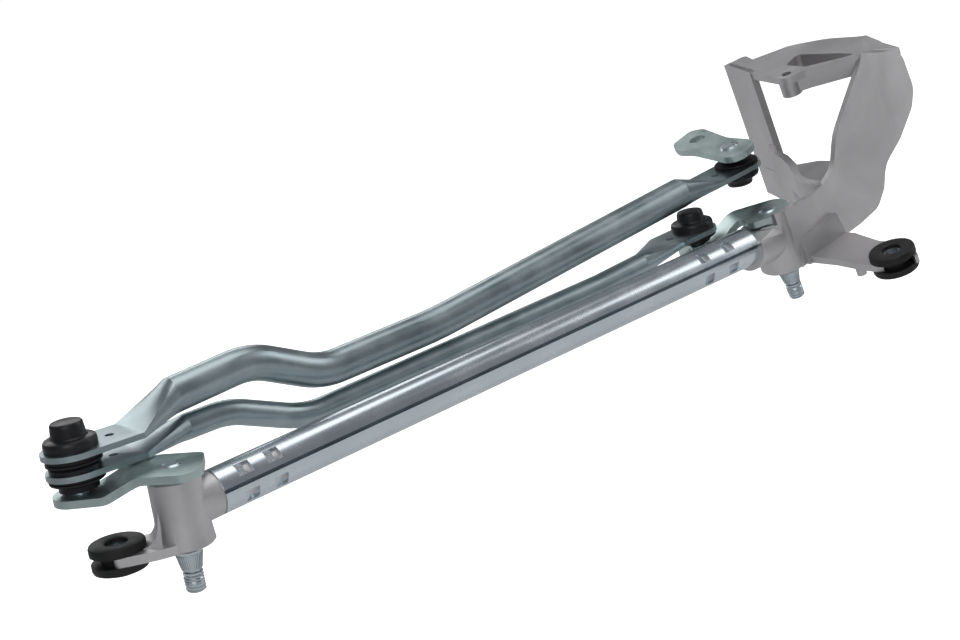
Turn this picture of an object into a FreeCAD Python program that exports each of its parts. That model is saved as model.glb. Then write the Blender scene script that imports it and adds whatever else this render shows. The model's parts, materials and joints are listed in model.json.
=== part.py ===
import FreeCAD, Part
import math
import os

# Wiper linkage of a car: a frame tube between two cast housings, two wiper spindles with their
# levers, a coupling rod that ties the levers together, a drive rod and the crank of the motor.
# Millimetres. +X runs along the tube to the motor bracket and +Z points to the lever side, so
# the threaded spindle ends point down. The shapes are drawn about the point where the passenger
# spindle's axis crosses the tube's axis, and each spindle has its own frame with Z along its
# axis. The last step moves everything so that the origin is the middle of the passenger mount.

V = FreeCAD.Vector
SIDES = ("passenger", "driver")

# Layout of the linkage
SPINDLE_SPACING = 372.4      # where the two spindle axes cross the tube axis
TILT = {"passenger": 4.0, "driver": -12.8}   # lean of each spindle's top along +X, degrees
LEVER_RADIUS = 40.0          # spindle axis to ball, both levers
LEVER_ANGLE = 134.0          # direction of both levers when parked, degrees from +X
CRANK_BALL = (18.5, 31.2, 41.9)   # crank's top face on its ball's axis, driver spindle frame
CRANK_RADIUS = 31.0          # ball to motor shaft
CRANK_ANGLE = 76.0           # direction of the crank, degrees from +X in that frame

# Frame tube, rolled from sheet with an open seam
TUBE_D = 20.0
TUBE_WALL = 1.5
TUBE_START = 16.6
TUBE_END = SPINDLE_SPACING - 24.8
SEAM_GAP = 1.6
SEAM_ANGLE = 10.0            # seam above the -Y side, degrees
SPIGOT_LENGTH = {"passenger": 38.0, "driver": 49.0}
CRIMP_STARTS = (TUBE_START + 9.0, TUBE_START + 23.6, TUBE_END - 41.4, TUBE_END - 23.2)
CRIMP_LENGTH = 7.0
CRIMP_WIDTH = 6.0
TONGUE_LENGTH = 5.2
TONGUE_DEPTH = 1.6
CRIMP_SPREAD = 37.0          # each crimp row to the seam, degrees

# Spindles
SHAFT_D = 10.0
SPINDLE_REACH = 20.5         # thread end below the boss
THREAD_D = 8.0
THREAD_LENGTH = 9.6
CONE_D = 11.4
CONE_LENGTH = 8.6
RIVET_D = 9.6
RIVET_HEIGHT = 0.7
SEAT_D = 9.0                 # knurled seat of the lever

# Bosses and what runs in them
BOSS_R = {"passenger": 11.2, "driver": 12.6}
BOSS_BOTTOM = {"passenger": -15.5, "driver": -18.5}
BUSH_R = 6.5
UPPER_BUSH_LENGTH = 10.0
LOWER_BUSH_LENGTH = 9.0
BOSS_RELIEF = 0.6            # bore between the bushes around the spindle
RUNNING_CLEARANCE = 0.04
WASHER_R = 9.0
WASHER_THICKNESS = 1.0
END_PLAY = 0.2
SEAL_HEIGHT = 1.6
SEAL_OUTER_R = 6.9
SOFT_CLEARANCE = 0.3
CLIP_R = 7.2
CLIP_THICKNESS = 1.0
CLIP_GROOVE = 0.8

# Levers
LEVER_TOP = {"passenger": 18.9, "driver": 14.5}
LEVER_THICKNESS = 3.5
LEVER_DROP = 7.0             # the ball end lies this far below the spindle end
LEVER_RAMP = 8.0
LEVER_FOLD = 19.2            # spindle axis to the middle of the fold
LEVER_FOLD_SKEW = 23.0       # degrees
LEVER_END_R = 11.4
LEVER_WAIST = (27.0, -9.5)
LEVER_LEFT = {"passenger": ((14.0, 15.0, 8.0),),
              "driver": ((11.0, 10.8, 4.0), (14.5, 0.0, 5.0), (23.0, 2.5, 10.0), (31.0, 11.0, 6.0))}
LEVER_RIGHT = (17.0, -13.0)
LEVER_TAIL = {"passenger": ((-14.0, -11.5, 4.0), (-15.5, 13.5, 5.0)),
              "driver": ((-11.0, -11.0, 10.8), (-11.0, 10.8, 10.8))}

# Ball joints, heights above the face that carries the stud
BALL_D = 10.0
NECK_D = 6.4
COLLAR_D = 9.4
COLLAR_HEIGHT = 1.2
STUD_SEAT_D = 8.0
STUD_HEAD_D = 10.5
STUD_HEAD_HEIGHT = 0.9
PLATE_THICKNESS = 2.5
PLATE_GAP = 7.6              # lever face to the coupling rod
STACK_GAP = 6.2              # coupling rod to drive rod
CRANK_GAP = 8.0              # crank to drive rod
BALL_ABOVE_PLATE = 1.9       # a capped ball's centre beyond the rod plate
BALL_CLEARANCE = 0.05
DRIFT_CLEARANCE = 0.9        # the driver's joint takes up the small drift of the mechanism
SOCKET_R = 8.0
SOCKET_SNAP = 0.6
CAP_FLANGE_R = 11.2
CAP_FLANGE_HEIGHT = 3.4
CAP_BASE_R = 8.5
CAP_TOP_R = 6.9
CAP_HEIGHT = {"passenger": 10.8, "driver": 10.8, "crank": 9.4}
MOUTH_R = 4.3

# Boots
BOOT_R = 11.8
BOOT_NECK_R = 8.4
BOOT_WALL = 1.5
BOOT_HEIGHT = {"link": 6.4, "drive": 3.2, "driver": 4.5, "crank": 5.4}

# Rods
DRIVE_ROD_D = 16.0
COUPLING_ROD_D = 11.6
DRIVE_PLATE_WIDTH = 26.0
COUPLING_PLATE_WIDTH = 25.0
SMALL_HOLE_D = 4.0
SMALL_HOLE_AT = 17.5         # ball to the small hole in the plate
DRIVE_PATH = ((24.0, 36.6), (64.0, 37.6), (98.0, 19.6), (165.0, 18.8),
              (SPINDLE_SPACING - 34.4, 31.4))
DRIVE_BENDS = (36.0, 40.0, 260.0)
COUPLING_PATH = ((26.0, 21.4), (47.0, 20.6), (84.0, 3.4), (SPINDLE_SPACING - 104.4, 3.2),
                 (SPINDLE_SPACING - 72.4, 4.6))
COUPLING_BENDS = (40.0, 50.0, 160.0)
DRIVE_END_TILT = 4.0         # the plate at the crank follows the rod, degrees
COUPLING_END_TILT = 1.0

# Motor crank
CRANK_THICKNESS = 3.5
CRANK_BORE_D = 9.0
CRANK_OUTLINE = ((-15.0, -16.0, 11.0), (7.5, -15.0, 9.5), (9.8, 9.0, 24.0), (20.0, 36.0, 6.0),
                 (17.5, 43.5, 4.5), (1.0, 43.5, 6.0), (-6.0, 33.0, 12.0), (-5.2, 23.0, 20.0))

# Rubber mounts
GROMMET_R = 11.8
GROMMET_WAIST_R = 7.6
GROMMET_LIP = 4.0            # rubber above and below the arm
SLEEVE_R = 4.6
SLEEVE_BORE_R = 3.2
SLEEVE_FLANGE_R = 7.4
SLEEVE_FLANGE_THICKNESS = 1.0
SLEEVE_PROUD = 0.5
ARM_THICKNESS = 4.0
MOUNT_AT = {"passenger": (-25.0, 11.5), "driver": (8.0, -66.0)}
ARM_BOTTOM = {"passenger": -15.5, "driver": -18.0}

# Motor bracket, in the driver spindle's frame
WALL = 4.0
BLADE_FACE = -15.0           # Y of the outer face
BLADE_THICKNESS = 3.0
COLLAR_R = 12.8              # cast collar round the tube's end
PLATE_TOP = 61.0
BLADE_OUTLINE = ((-22.0, 17.5, 2.0), (1.0, 15.7, 0.0), (19.0, 12.7, 12.0), (40.0, 20.3, 12.0),
                 (55.0, 38.0, 20.0), (90.0, 61.0, 3.0), (106.0, 60.5, 12.0), (123.6, 46.7, 8.0),
                 (123.9, 19.0, 5.0), (86.0, 3.1, 12.0), (72.6, -14.4, 20.0),
                 (63.0, -23.5, 6.0), (35.7, -20.1, 0.0), (5.0, -18.0, 0.0), (-22.0, -12.0, 3.0))
LOW_WALL = ((28.0, -13.0), (29.4, -3.9), (33.4, 4.6), (46.2, 18.0), (55.0, 30.5), (61.6, 44.5),
            (70.0, 52.0))
LOW_WALL_TOP = 15.5
MOTOR_SCREWS = ((65.5, 20.0), (84.0, 62.0), (98.0, -5.0))
MOTOR_SCREW_D = 5.4
FLOOR_BOTTOM = -4.0
TOP_OUTLINE = ((58.5, 15.5, 5.0), (70.0, 10.4, 6.0), (77.6, -1.1, 8.0), (86.5, -15.0, 0.0),
               (108.4, -15.0, 4.0), (108.4, 22.0, 6.0), (102.5, 40.2, 4.0), (93.9, 41.5, 6.0),
               (84.5, 52.0, 6.0), (91.0, 71.4, 3.0), (79.9, 75.5, 3.0), (67.1, 45.4, 4.0))


# Helpers

def disc(radius, bottom, top, x=0.0, y=0.0):
    return Part.makeCylinder(radius, top - bottom, V(x, y, bottom))


def ring(outer, inner, bottom, top):
    return disc(outer, bottom, top).cut(disc(inner, bottom - 1, top + 1))


def rod_along_x(radius, start, end):
    return Part.makeCylinder(radius, end - start, V(start, 0, 0), V(1, 0, 0))


def turned(profile):
    """Solid of revolution about Z from (radius, height) corners."""
    corners = [V(r, 0, z) for r, z in profile]
    face = Part.Face(Part.makePolygon(corners + corners[:1]))
    return face.revolve(V(0, 0, 0), V(0, 0, 1), 360)


def ball(radius, height):
    return Part.makeSphere(radius, V(0, 0, height))


def rounded_face(corners):
    """Flat face in XY from (x, y, corner radius) corners."""
    count = len(corners)
    stretches = []
    for i, (x, y, radius) in enumerate(corners):
        here = V(x, y, 0)
        back = V(*corners[i - 1][:2], 0) - here
        ahead = V(*corners[(i + 1) % count][:2], 0) - here
        back_length, ahead_length = back.Length, ahead.Length
        back.normalize()
        ahead.normalize()
        half = back.getAngle(ahead) / 2
        reach = radius / math.tan(half) if radius else 0.0
        reach = min(reach, back_length * 0.499, ahead_length * 0.499)
        if reach < 1e-6:
            stretches.append((here, None, here))
            continue
        radius = reach * math.tan(half)
        inward = (back + ahead).normalize()
        middle = here + inward * (radius / math.sin(half) - radius)
        stretches.append((here + back * reach, middle, here + ahead * reach))
    edges = []
    for i, (first, middle, last) in enumerate(stretches):
        if middle is not None:
            edges.append(Part.Arc(first, middle, last).toShape())
        following = stretches[(i + 1) % count][0]
        if last.distanceToPoint(following) > 1e-6:
            edges.append(Part.makeLine(last, following))
    return Part.Face(Part.Wire(edges))


def slab(corners, bottom, top):
    face = rounded_face(corners)
    face.translate(V(0, 0, bottom))
    return face.extrude(V(0, 0, top - bottom))


def sharp(points):
    return [(x, y, 0.0) for x, y in points]


def upright_slab(corners, front, back):
    """Slab standing in XZ from (x, z, corner radius) corners, between two Y values."""
    face = rounded_face(corners)
    face.rotate(V(0, 0, 0), V(1, 0, 0), 90)
    face.translate(V(0, back, 0))
    return face.extrude(V(0, front - back, 0))


def fence(points, thickness, bottom, top):
    """Upright wall of even thickness along a line of (x, y) points."""
    pieces = []
    for (x0, y0), (x1, y1) in zip(points, points[1:]):
        length = math.hypot(x1 - x0, y1 - y0)
        piece = Part.makeBox(length, thickness, top - bottom, V(0, -thickness / 2, bottom))
        piece.rotate(V(0, 0, 0), V(0, 0, 1), math.degrees(math.atan2(y1 - y0, x1 - x0)))
        piece.translate(V(x0, y0, 0))
        pieces.append(piece)
    for x, y in points[1:-1]:
        pieces.append(disc(thickness / 2, bottom, top, x, y))
    return pieces[0].multiFuse(pieces[1:])


def merged(first, *others):
    return first.multiFuse(list(others)).removeSplitter()


def frame_at(origin, up, ahead=V(1, 0, 0)):
    """Frame with Z along up and X as near to ahead as it can be."""
    return FreeCAD.Placement(origin, FreeCAD.Rotation(ahead, V(), up, "ZXY"))


def placed(shape, frame):
    moved = shape.copy()
    moved.Placement = frame.multiply(moved.Placement)
    return moved


def spindle_frame(side):
    foot = V(0 if side == "passenger" else SPINDLE_SPACING, 0, 0)
    return FreeCAD.Placement(foot, FreeCAD.Rotation(V(0, 1, 0), TILT[side]))


def lever_frame(side):
    """Spindle frame turned so that X points along the lever, Z = 0 at the lever's top face."""
    turn = FreeCAD.Placement(V(0, 0, LEVER_TOP[side]), FreeCAD.Rotation(V(0, 0, 1), LEVER_ANGLE))
    return spindle_frame(side).multiply(turn)


def stud_frame(side):
    """On the ball's axis with Z = 0 at the lever's face there."""
    return lever_frame(side).multiply(FreeCAD.Placement(V(LEVER_RADIUS, 0, -LEVER_DROP),
                                                        FreeCAD.Rotation()))


def crank_frame():
    """On the crank's ball axis with Z = 0 at its top face and Y along the crank."""
    turn = FreeCAD.Rotation(V(0, 0, 1), CRANK_ANGLE - 76.0)
    return spindle_frame("driver").multiply(FreeCAD.Placement(V(*CRANK_BALL), turn))


LINK_BALL = PLATE_GAP + PLATE_THICKNESS / 2
DRIVE_BALL = PLATE_GAP + PLATE_THICKNESS + STACK_GAP + PLATE_THICKNESS + BALL_ABOVE_PLATE
DRIVER_BALL = PLATE_GAP + PLATE_THICKNESS + BALL_ABOVE_PLATE
CRANK_BALL_DROP = CRANK_THICKNESS + CRANK_GAP + PLATE_THICKNESS + BALL_ABOVE_PLATE


def tilted(angle):
    """Upward normal of a plate that climbs by this angle along +X."""
    return V(-math.sin(math.radians(angle)), 0, math.cos(math.radians(angle)))


def socket_frames():
    """Frame of each socket: origin in the ball's centre, Z from the plate to the cap."""
    lever_up = tilted(-TILT["passenger"])
    crank_ball = crank_frame().multVec(V(0, 0, -CRANK_BALL_DROP))
    return {
        "link": frame_at(stud_frame("passenger").multVec(V(0, 0, LINK_BALL)), lever_up),
        "passenger": frame_at(stud_frame("passenger").multVec(V(0, 0, DRIVE_BALL)), lever_up),
        "driver": frame_at(stud_frame("driver").multVec(V(0, 0, DRIVER_BALL)),
                           tilted(COUPLING_END_TILT)),
        "crank": frame_at(crank_ball, -tilted(DRIVE_END_TILT)),
    }


# Frame tube

def seam_turned(shape, offset=0.0):
    """Turns a shape built on the +Z side about the tube axis to the seam, or beside it."""
    turned_shape = shape.copy()
    turned_shape.rotate(V(0, 0, 0), V(1, 0, 0), 90 - SEAM_ANGLE + offset)
    return turned_shape


def crimp_places():
    return [(start, side * CRIMP_SPREAD) for start in CRIMP_STARTS for side in (-1, 1)]


def crimp_profile(points, start):
    corners = [V(start + x, -CRIMP_WIDTH / 2, r) for x, r in points]
    face = Part.Face(Part.makePolygon(corners + corners[:1]))
    return face.extrude(V(0, CRIMP_WIDTH, 0))


def crimp_window(start):
    low = TUBE_D / 2 - TUBE_WALL - TONGUE_DEPTH - 0.3
    high = TUBE_D / 2 + 1
    return crimp_profile(((0, low), (CRIMP_LENGTH, low), (CRIMP_LENGTH, high), (0, high)), start)


def crimp_tongue(start):
    top = TUBE_D / 2 - 0.3
    low = top - TUBE_WALL
    return crimp_profile(((0, low), (TONGUE_LENGTH, low - TONGUE_DEPTH),
                          (TONGUE_LENGTH, top - TONGUE_DEPTH), (0, top)), start)


def frame_tube():
    outer = TUBE_D / 2
    tube = rod_along_x(outer, TUBE_START, TUBE_END)
    tube = tube.cut(rod_along_x(outer - TUBE_WALL, TUBE_START - 1, TUBE_END + 1))
    length = TUBE_END - TUBE_START + 2
    seam = Part.makeBox(length, SEAM_GAP, TUBE_D, V(TUBE_START - 1, -SEAM_GAP / 2, 1))
    tube = tube.cut(seam_turned(seam))
    for start, offset in crimp_places():
        tube = tube.cut(seam_turned(crimp_window(start), offset))
        tube = tube.fuse(seam_turned(crimp_tongue(start), offset))
    return tube


def crimped_spigot(side):
    """Stub of a housing that fills the tube's end, with pockets for the tongues."""
    radius = TUBE_D / 2 - TUBE_WALL
    if side == "passenger":
        start, end = 2.0, TUBE_START + SPIGOT_LENGTH[side]
    else:
        start, end = TUBE_END - SPIGOT_LENGTH[side], SPINDLE_SPACING - 2.0
    stub = rod_along_x(radius, start, end)
    for crimp, offset in crimp_places():
        if start < crimp < end:
            stub = stub.cut(seam_turned(crimp_window(crimp), offset))
    return stub


# Housings

def bored(shape, side):
    """Cuts the bush bores and the seal's seat, in the spindle's frame."""
    top = boss_top(side)
    bottom = BOSS_BOTTOM[side]
    shape = shape.cut(disc(BUSH_R, top - UPPER_BUSH_LENGTH, top + 30))
    shape = shape.cut(disc(SHAFT_D / 2 + BOSS_RELIEF, bottom - 1, top))
    shape = shape.cut(disc(BUSH_R, bottom - 1, bottom + SEAL_HEIGHT + LOWER_BUSH_LENGTH))
    return shape.cut(disc(SEAL_OUTER_R, bottom - 1, bottom + SEAL_HEIGHT))


def boss_top(side):
    return LEVER_TOP[side] - LEVER_THICKNESS - END_PLAY - WASHER_THICKNESS


def boss(side):
    radius = BOSS_R[side]
    bottom, top = BOSS_BOTTOM[side], boss_top(side)
    return turned(((0, bottom), (radius - 0.8, bottom), (radius, bottom + 0.8),
                   (radius, top - 1.0), (radius - 1.0, top), (0, top)))


def mount_slot(side, direction):
    """U-slot for the grommet's waist, open along the direction."""
    x, y = MOUNT_AT[side]
    bottom = ARM_BOTTOM[side] - 1
    height = ARM_THICKNESS + 2
    opening = Part.makeBox(40, 2 * GROMMET_WAIST_R, height, V(0, -GROMMET_WAIST_R, bottom))
    opening.rotate(V(0, 0, 0), V(0, 0, 1), direction)
    opening.translate(V(x, y, 0))
    return opening.fuse(disc(GROMMET_WAIST_R, bottom, bottom + height, x, y))


def passenger_housing():
    side = "passenger"
    x, y = MOUNT_AT[side]
    reach = math.hypot(x, y)
    direction = math.degrees(math.atan2(y, x))
    low = ARM_BOTTOM[side]
    arm = slab(((0, -9.6, 0), (reach, -11.0, 0), (reach + 10.0, -11.0, 3), (reach + 10.0, 11.0, 3),
                (reach, 11.0, 0), (0, 9.6, 0)), low, low + ARM_THICKNESS)
    web = upright_slab(((0, low, 0), (15.2, low, 0), (15.2, low + ARM_THICKNESS, 1.5),
                        (10.0, 4.0, 2), (0, 4.0, 0)), -9.0, 9.0)
    foot = slab(((4.0, -9.0, 0), (17.0, -9.0, 4), (17.0, -4.0, 4), (4.0, 2.0, 0)), low, low + 3.0)
    foot.rotate(V(0, 0, 0), V(0, 0, 1), -direction)
    arm = merged(arm, web, foot)
    arm.rotate(V(0, 0, 0), V(0, 0, 1), direction)
    arm = arm.cut(mount_slot(side, direction))
    body = merged(boss(side), arm)
    body = placed(body, spindle_frame(side))
    collar = rod_along_x(TUBE_D / 2, 0, TUBE_START - 1.2)
    neck = rod_along_x(TUBE_D / 2 - 0.7, 0, TUBE_START)
    body = merged(body, collar, neck, crimped_spigot(side))
    tool = bored(disc(40, -60, 60), side)
    tool = disc(8.0, -60, 60).cut(tool)
    return body.cut(placed(tool, spindle_frame(side))).removeSplitter()


def rim(outline, thickness, bottom, top):
    """Wall along the closed outline's inside."""
    face = rounded_face(outline)
    inner = face.makeOffset2D(-thickness)
    wall = face.cut(inner)
    wall.translate(V(0, 0, bottom))
    return wall.extrude(V(0, 0, top - bottom))


def lever_room():
    """Room that the driver's lever needs above the boss, in the spindle's frame."""
    low = boss_top("driver")
    room = Part.makeBox(30.0, 45.0, 30.0, V(-30.0, -12.0, low))
    ramp_room = Part.makeBox(18.0, 24.0, 12.0, V(-30.0, 9.0, low - 6.0))
    return merged(room, ramp_room, disc(16.0, low, low + 30.0))


def motor_bracket():
    side = "driver"
    x, y = MOUNT_AT[side]
    inner = BLADE_FACE + BLADE_THICKNESS
    blade = upright_slab(BLADE_OUTLINE, BLADE_FACE, inner)
    low_wall = fence(LOW_WALL, WALL, FLOOR_BOTTOM, LOW_WALL_TOP)
    floor = slab(sharp(((8.0, inner - 1), (8.0, -4.0), (28.5, 2.0)) + LOW_WALL[3:]
                       + ((88.0, 30.0), (100.0, inner - 1))), FLOOR_BOTTOM, FLOOR_BOTTOM + WALL)
    post = fence(((69.0, 47.0), (80.5, 76.0)), WALL, FLOOR_BOTTOM, PLATE_TOP)
    plate = slab(TOP_OUTLINE, PLATE_TOP - WALL, PLATE_TOP)
    plate_rim = rim(TOP_OUTLINE, 3.0, PLATE_TOP - 11.0, PLATE_TOP)
    hole = slab(((70.0, 20.0, 2), (79.0, 20.0, 2), (76.0, 31.0, 2)), PLATE_TOP - 20, PLATE_TOP + 1)
    lug = disc(5.5, PLATE_TOP - 12, PLATE_TOP - 2, *MOTOR_SCREWS[0])
    lug = lug.fuse(disc(5.5, PLATE_TOP - 11, PLATE_TOP, *MOTOR_SCREWS[1]))
    rib = fence(((70.0, -13.0), (92.0, 34.0)), 3.0, PLATE_TOP - 9, PLATE_TOP - 1)
    low = ARM_BOTTOM[side]
    arm = slab(((2.0, -10.0, 0), (26.0, -10.0, 0), (22.0, -48.0, 20), (21.5, -80.0, 5),
                (-5.5, -80.0, 5), (-5.5, -52.0, 14), (1.0, -40.0, 20)), low, low + ARM_THICKNESS)
    arm = arm.cut(mount_slot(side, -90))
    arm_rib = upright_slab(((0, low, 0), (34.0, low, 0), (34.0, low + 6.0, 2), (0, 2.0, 0)),
                           -1.8, 1.8)
    arm_rib.rotate(V(0, 0, 0), V(0, 0, 1), -90)
    arm_rib.translate(V(12.0, -12.0, 0))
    peg = disc(2.6, low - 6.0, low + 1, 4.0, -46.0)
    screw_holes = [disc(MOTOR_SCREW_D / 2, PLATE_TOP - 20, PLATE_TOP + 1, hx, hy)
                   for hx, hy in MOTOR_SCREWS]
    body = merged(boss(side), blade, low_wall, floor, post, plate, plate_rim, lug, rib, arm,
                  arm_rib, peg)
    body = body.cut(hole.multiFuse(screw_holes))
    body = placed(body, spindle_frame(side))
    collar = rod_along_x(COLLAR_R, TUBE_END, SPINDLE_SPACING)
    stub_end = merged(collar, crimped_spigot(side))
    body = merged(body, stub_end.cut(placed(lever_room(), spindle_frame(side))))
    tool = disc(8.0, -60, 60).cut(bored(disc(40, -60, 60), side))
    return body.cut(placed(tool, spindle_frame(side))).removeSplitter()


# Spindles and their small parts

def spindle(side):
    top = LEVER_TOP[side]
    shoulder = top - LEVER_THICKNESS
    end = BOSS_BOTTOM[side] - SPINDLE_REACH
    r = SHAFT_D / 2
    clip = BOSS_BOTTOM[side] - 0.2
    cone = end + THREAD_LENGTH + CONE_LENGTH
    shape = turned(((0, end), (THREAD_D / 2 - 0.8, end), (THREAD_D / 2, end + 0.8),
                    (THREAD_D / 2, end + THREAD_LENGTH - 0.8),
                    (THREAD_D / 2 - 0.5, end + THREAD_LENGTH - 0.6),
                    (THREAD_D / 2 - 0.5, end + THREAD_LENGTH),
                    (THREAD_D / 2, end + THREAD_LENGTH),
                    (CONE_D / 2, cone), (r, cone + 0.5), (r, clip - CLIP_THICKNESS),
                    (r - CLIP_GROOVE, clip - CLIP_THICKNESS), (r - CLIP_GROOVE, clip), (r, clip),
                    (r, shoulder), (SEAT_D / 2, shoulder), (SEAT_D / 2, top),
                    (RIVET_D / 2, top), (RIVET_D / 2 - 0.9, top + RIVET_HEIGHT),
                    (0, top + RIVET_HEIGHT)))
    return placed(shape, spindle_frame(side))


def bush(side, place):
    if place == "upper":
        top = boss_top(side)
        bottom = top - UPPER_BUSH_LENGTH
    else:
        bottom = BOSS_BOTTOM[side] + SEAL_HEIGHT
        top = bottom + LOWER_BUSH_LENGTH
    shape = ring(BUSH_R, SHAFT_D / 2 + RUNNING_CLEARANCE, bottom, top)
    return placed(shape, spindle_frame(side))


def thrust_washer(side):
    bottom = boss_top(side)
    return placed(ring(WASHER_R, SHAFT_D / 2 + 0.1, bottom, bottom + WASHER_THICKNESS),
                  spindle_frame(side))


def seal_ring(side):
    bottom = BOSS_BOTTOM[side]
    inner = SHAFT_D / 2 + SOFT_CLEARANCE
    return placed(ring(SEAL_OUTER_R, inner, bottom + 0.1, bottom + SEAL_HEIGHT),
                  spindle_frame(side))


def retaining_ring(side):
    top = BOSS_BOTTOM[side] - 0.2
    bottom = top - CLIP_THICKNESS
    shape = ring(CLIP_R, SHAFT_D / 2 - CLIP_GROOVE, bottom, top)
    opening = Part.makeBox(10, 4.2, 3, V(0, -2.1, bottom - 1))
    opening.rotate(V(0, 0, 0), V(0, 0, 1), -60)
    return placed(shape.cut(opening), spindle_frame(side))


def lever(side):
    tip = LEVER_RADIUS + LEVER_END_R
    plan = slab((*LEVER_TAIL[side], *LEVER_LEFT[side], (tip, LEVER_END_R, LEVER_END_R - 0.1),
                 (tip, -LEVER_END_R, LEVER_END_R - 0.1), (*LEVER_WAIST, 8.0),
                 (*LEVER_RIGHT, 3.5)), -30, 10)
    start, end = LEVER_FOLD - LEVER_RAMP / 2, LEVER_FOLD + LEVER_RAMP / 2
    slope = math.atan2(LEVER_DROP, LEVER_RAMP)
    shift = LEVER_THICKNESS * math.tan(slope / 2)
    low = -LEVER_THICKNESS
    bar = upright_slab(((-60, 0, 0), (start, 0, 5.0), (end, -LEVER_DROP, 2.0),
                        (90, -LEVER_DROP, 0), (90, low - LEVER_DROP, 0),
                        (end - shift, low - LEVER_DROP, 5.0), (start - shift, low, 2.0),
                        (-60, low, 0)), -60, 60)
    bar.rotate(V(0, 0, 0), V(0, 0, 1), LEVER_FOLD_SKEW)
    shape = plan.common(bar)
    shape = shape.cut(disc(SEAT_D / 2, -10, 10))
    shape = shape.cut(disc(STUD_SEAT_D / 2, -30, 10, LEVER_RADIUS))
    return placed(shape, lever_frame(side))


# Ball studs

def stud(plate, balls):
    """Stud riveted through a plate of this thickness, Z = 0 at the plate's face."""
    seat = STUD_SEAT_D / 2
    head = STUD_HEAD_D / 2
    shape = turned(((0, -plate - STUD_HEAD_HEIGHT), (head - 0.8, -plate - STUD_HEAD_HEIGHT),
                    (head, -plate), (seat, -plate), (seat, 0), (COLLAR_D / 2, 0),
                    (COLLAR_D / 2, COLLAR_HEIGHT), (NECK_D / 2, COLLAR_HEIGHT + 0.6),
                    (NECK_D / 2, balls[-1]), (0, balls[-1])))
    return merged(shape, *(ball(BALL_D / 2, height) for height in balls))


def double_ball_stud():
    return placed(stud(LEVER_THICKNESS, (LINK_BALL, DRIVE_BALL)), stud_frame("passenger"))


def driver_ball_stud():
    return placed(stud(LEVER_THICKNESS, (DRIVER_BALL,)), stud_frame("driver"))


def crank_ball_stud():
    shape = stud(CRANK_THICKNESS, (CRANK_BALL_DROP - CRANK_THICKNESS,))
    shape.rotate(V(0, 0, 0), V(1, 0, 0), 180)
    shape.translate(V(0, 0, -CRANK_THICKNESS))
    return placed(shape, crank_frame())


# Ball sockets and boots, Z = 0 in the ball's centre and the cap on the +Z side

def capped_socket(joint, bore=None):
    plate_face = -BALL_ABOVE_PLATE
    under = plate_face - PLATE_THICKNESS
    top = plate_face + CAP_HEIGHT[joint]
    flange = plate_face + CAP_FLANGE_HEIGHT
    snap = SOCKET_R + 0.5
    shape = turned(((0, under - SOCKET_SNAP), (SOCKET_R, under - SOCKET_SNAP), (snap, under),
                    (SOCKET_R, under), (SOCKET_R, plate_face), (CAP_FLANGE_R, plate_face),
                    (CAP_FLANGE_R, flange - 0.8), (CAP_FLANGE_R - 0.8, flange),
                    (CAP_BASE_R, flange), (CAP_TOP_R + 0.15, top - 1.5), (CAP_TOP_R - 1.5, top),
                    (0, top)))
    if bore:
        hollow = disc(bore, under - 2, 0).fuse(ball(bore, 0))
    else:
        hollow = ball(BALL_D / 2 + BALL_CLEARANCE, 0).fuse(mouth(under - SOCKET_SNAP))
    return shape.cut(hollow)


def mouth(end):
    """Flared opening below the ball, down to this height."""
    start = -math.sqrt((BALL_D / 2 + BALL_CLEARANCE) ** 2 - MOUTH_R ** 2)
    length = start - end
    cone = Part.makeCone(MOUTH_R + 1.3, MOUTH_R, length, V(0, 0, end))
    return cone.fuse(disc(MOUTH_R, start, 0))


def link_socket():
    """Ring socket of the coupling rod on the lower ball."""
    half = PLATE_THICKNESS / 2
    top = half + 2.1
    low = -half - SOCKET_SNAP
    shape = turned(((0, low), (SOCKET_R, low), (SOCKET_R + 0.5, -half), (SOCKET_R, -half),
                    (SOCKET_R, half), (CAP_FLANGE_R - 0.4, half), (CAP_FLANGE_R - 0.4, top - 0.6),
                    (CAP_FLANGE_R - 1.0, top), (0, top)))
    cavity = ball(BALL_D / 2 + BALL_CLEARANCE, 0)
    neck = Part.makeCone(MOUTH_R, MOUTH_R + 0.9, top - 2.6, V(0, 0, 2.6))
    return shape.cut(cavity).cut(neck).cut(disc(MOUTH_R, 0, 2.7))


def boot(joint, ball_above_underside):
    """Rubber boot between a rod plate and the lever or crank, in the socket's frame."""
    top = -ball_above_underside
    height = BOOT_HEIGHT[joint]
    wide, narrow, wall = BOOT_R, BOOT_NECK_R, BOOT_WALL
    inside = SOCKET_R + 0.5 + SOFT_CLEARANCE
    lip = top - height
    if height < 4:
        return turned(((inside, top), (wide, top), (wide, top - 0.9), (wide - 0.8, top - 1.3),
                       (wide - 0.8, top - 1.9), (wide, top - 2.3), (wide, lip), (inside, lip)))
    step = top - 0.42 * height
    groove = top - 0.2 * height
    return turned(((inside, top), (wide, top), (wide, groove + 0.3), (wide - 0.7, groove),
                   (wide, groove - 0.3), (wide - 0.2, step + 0.2), (wide - 1.6, step - 0.6),
                   (narrow + 0.3, step - 0.9), (narrow, step - 1.3), (narrow, lip),
                   (narrow - wall, lip), (narrow - wall, step), (inside, step + 0.6)))


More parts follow.
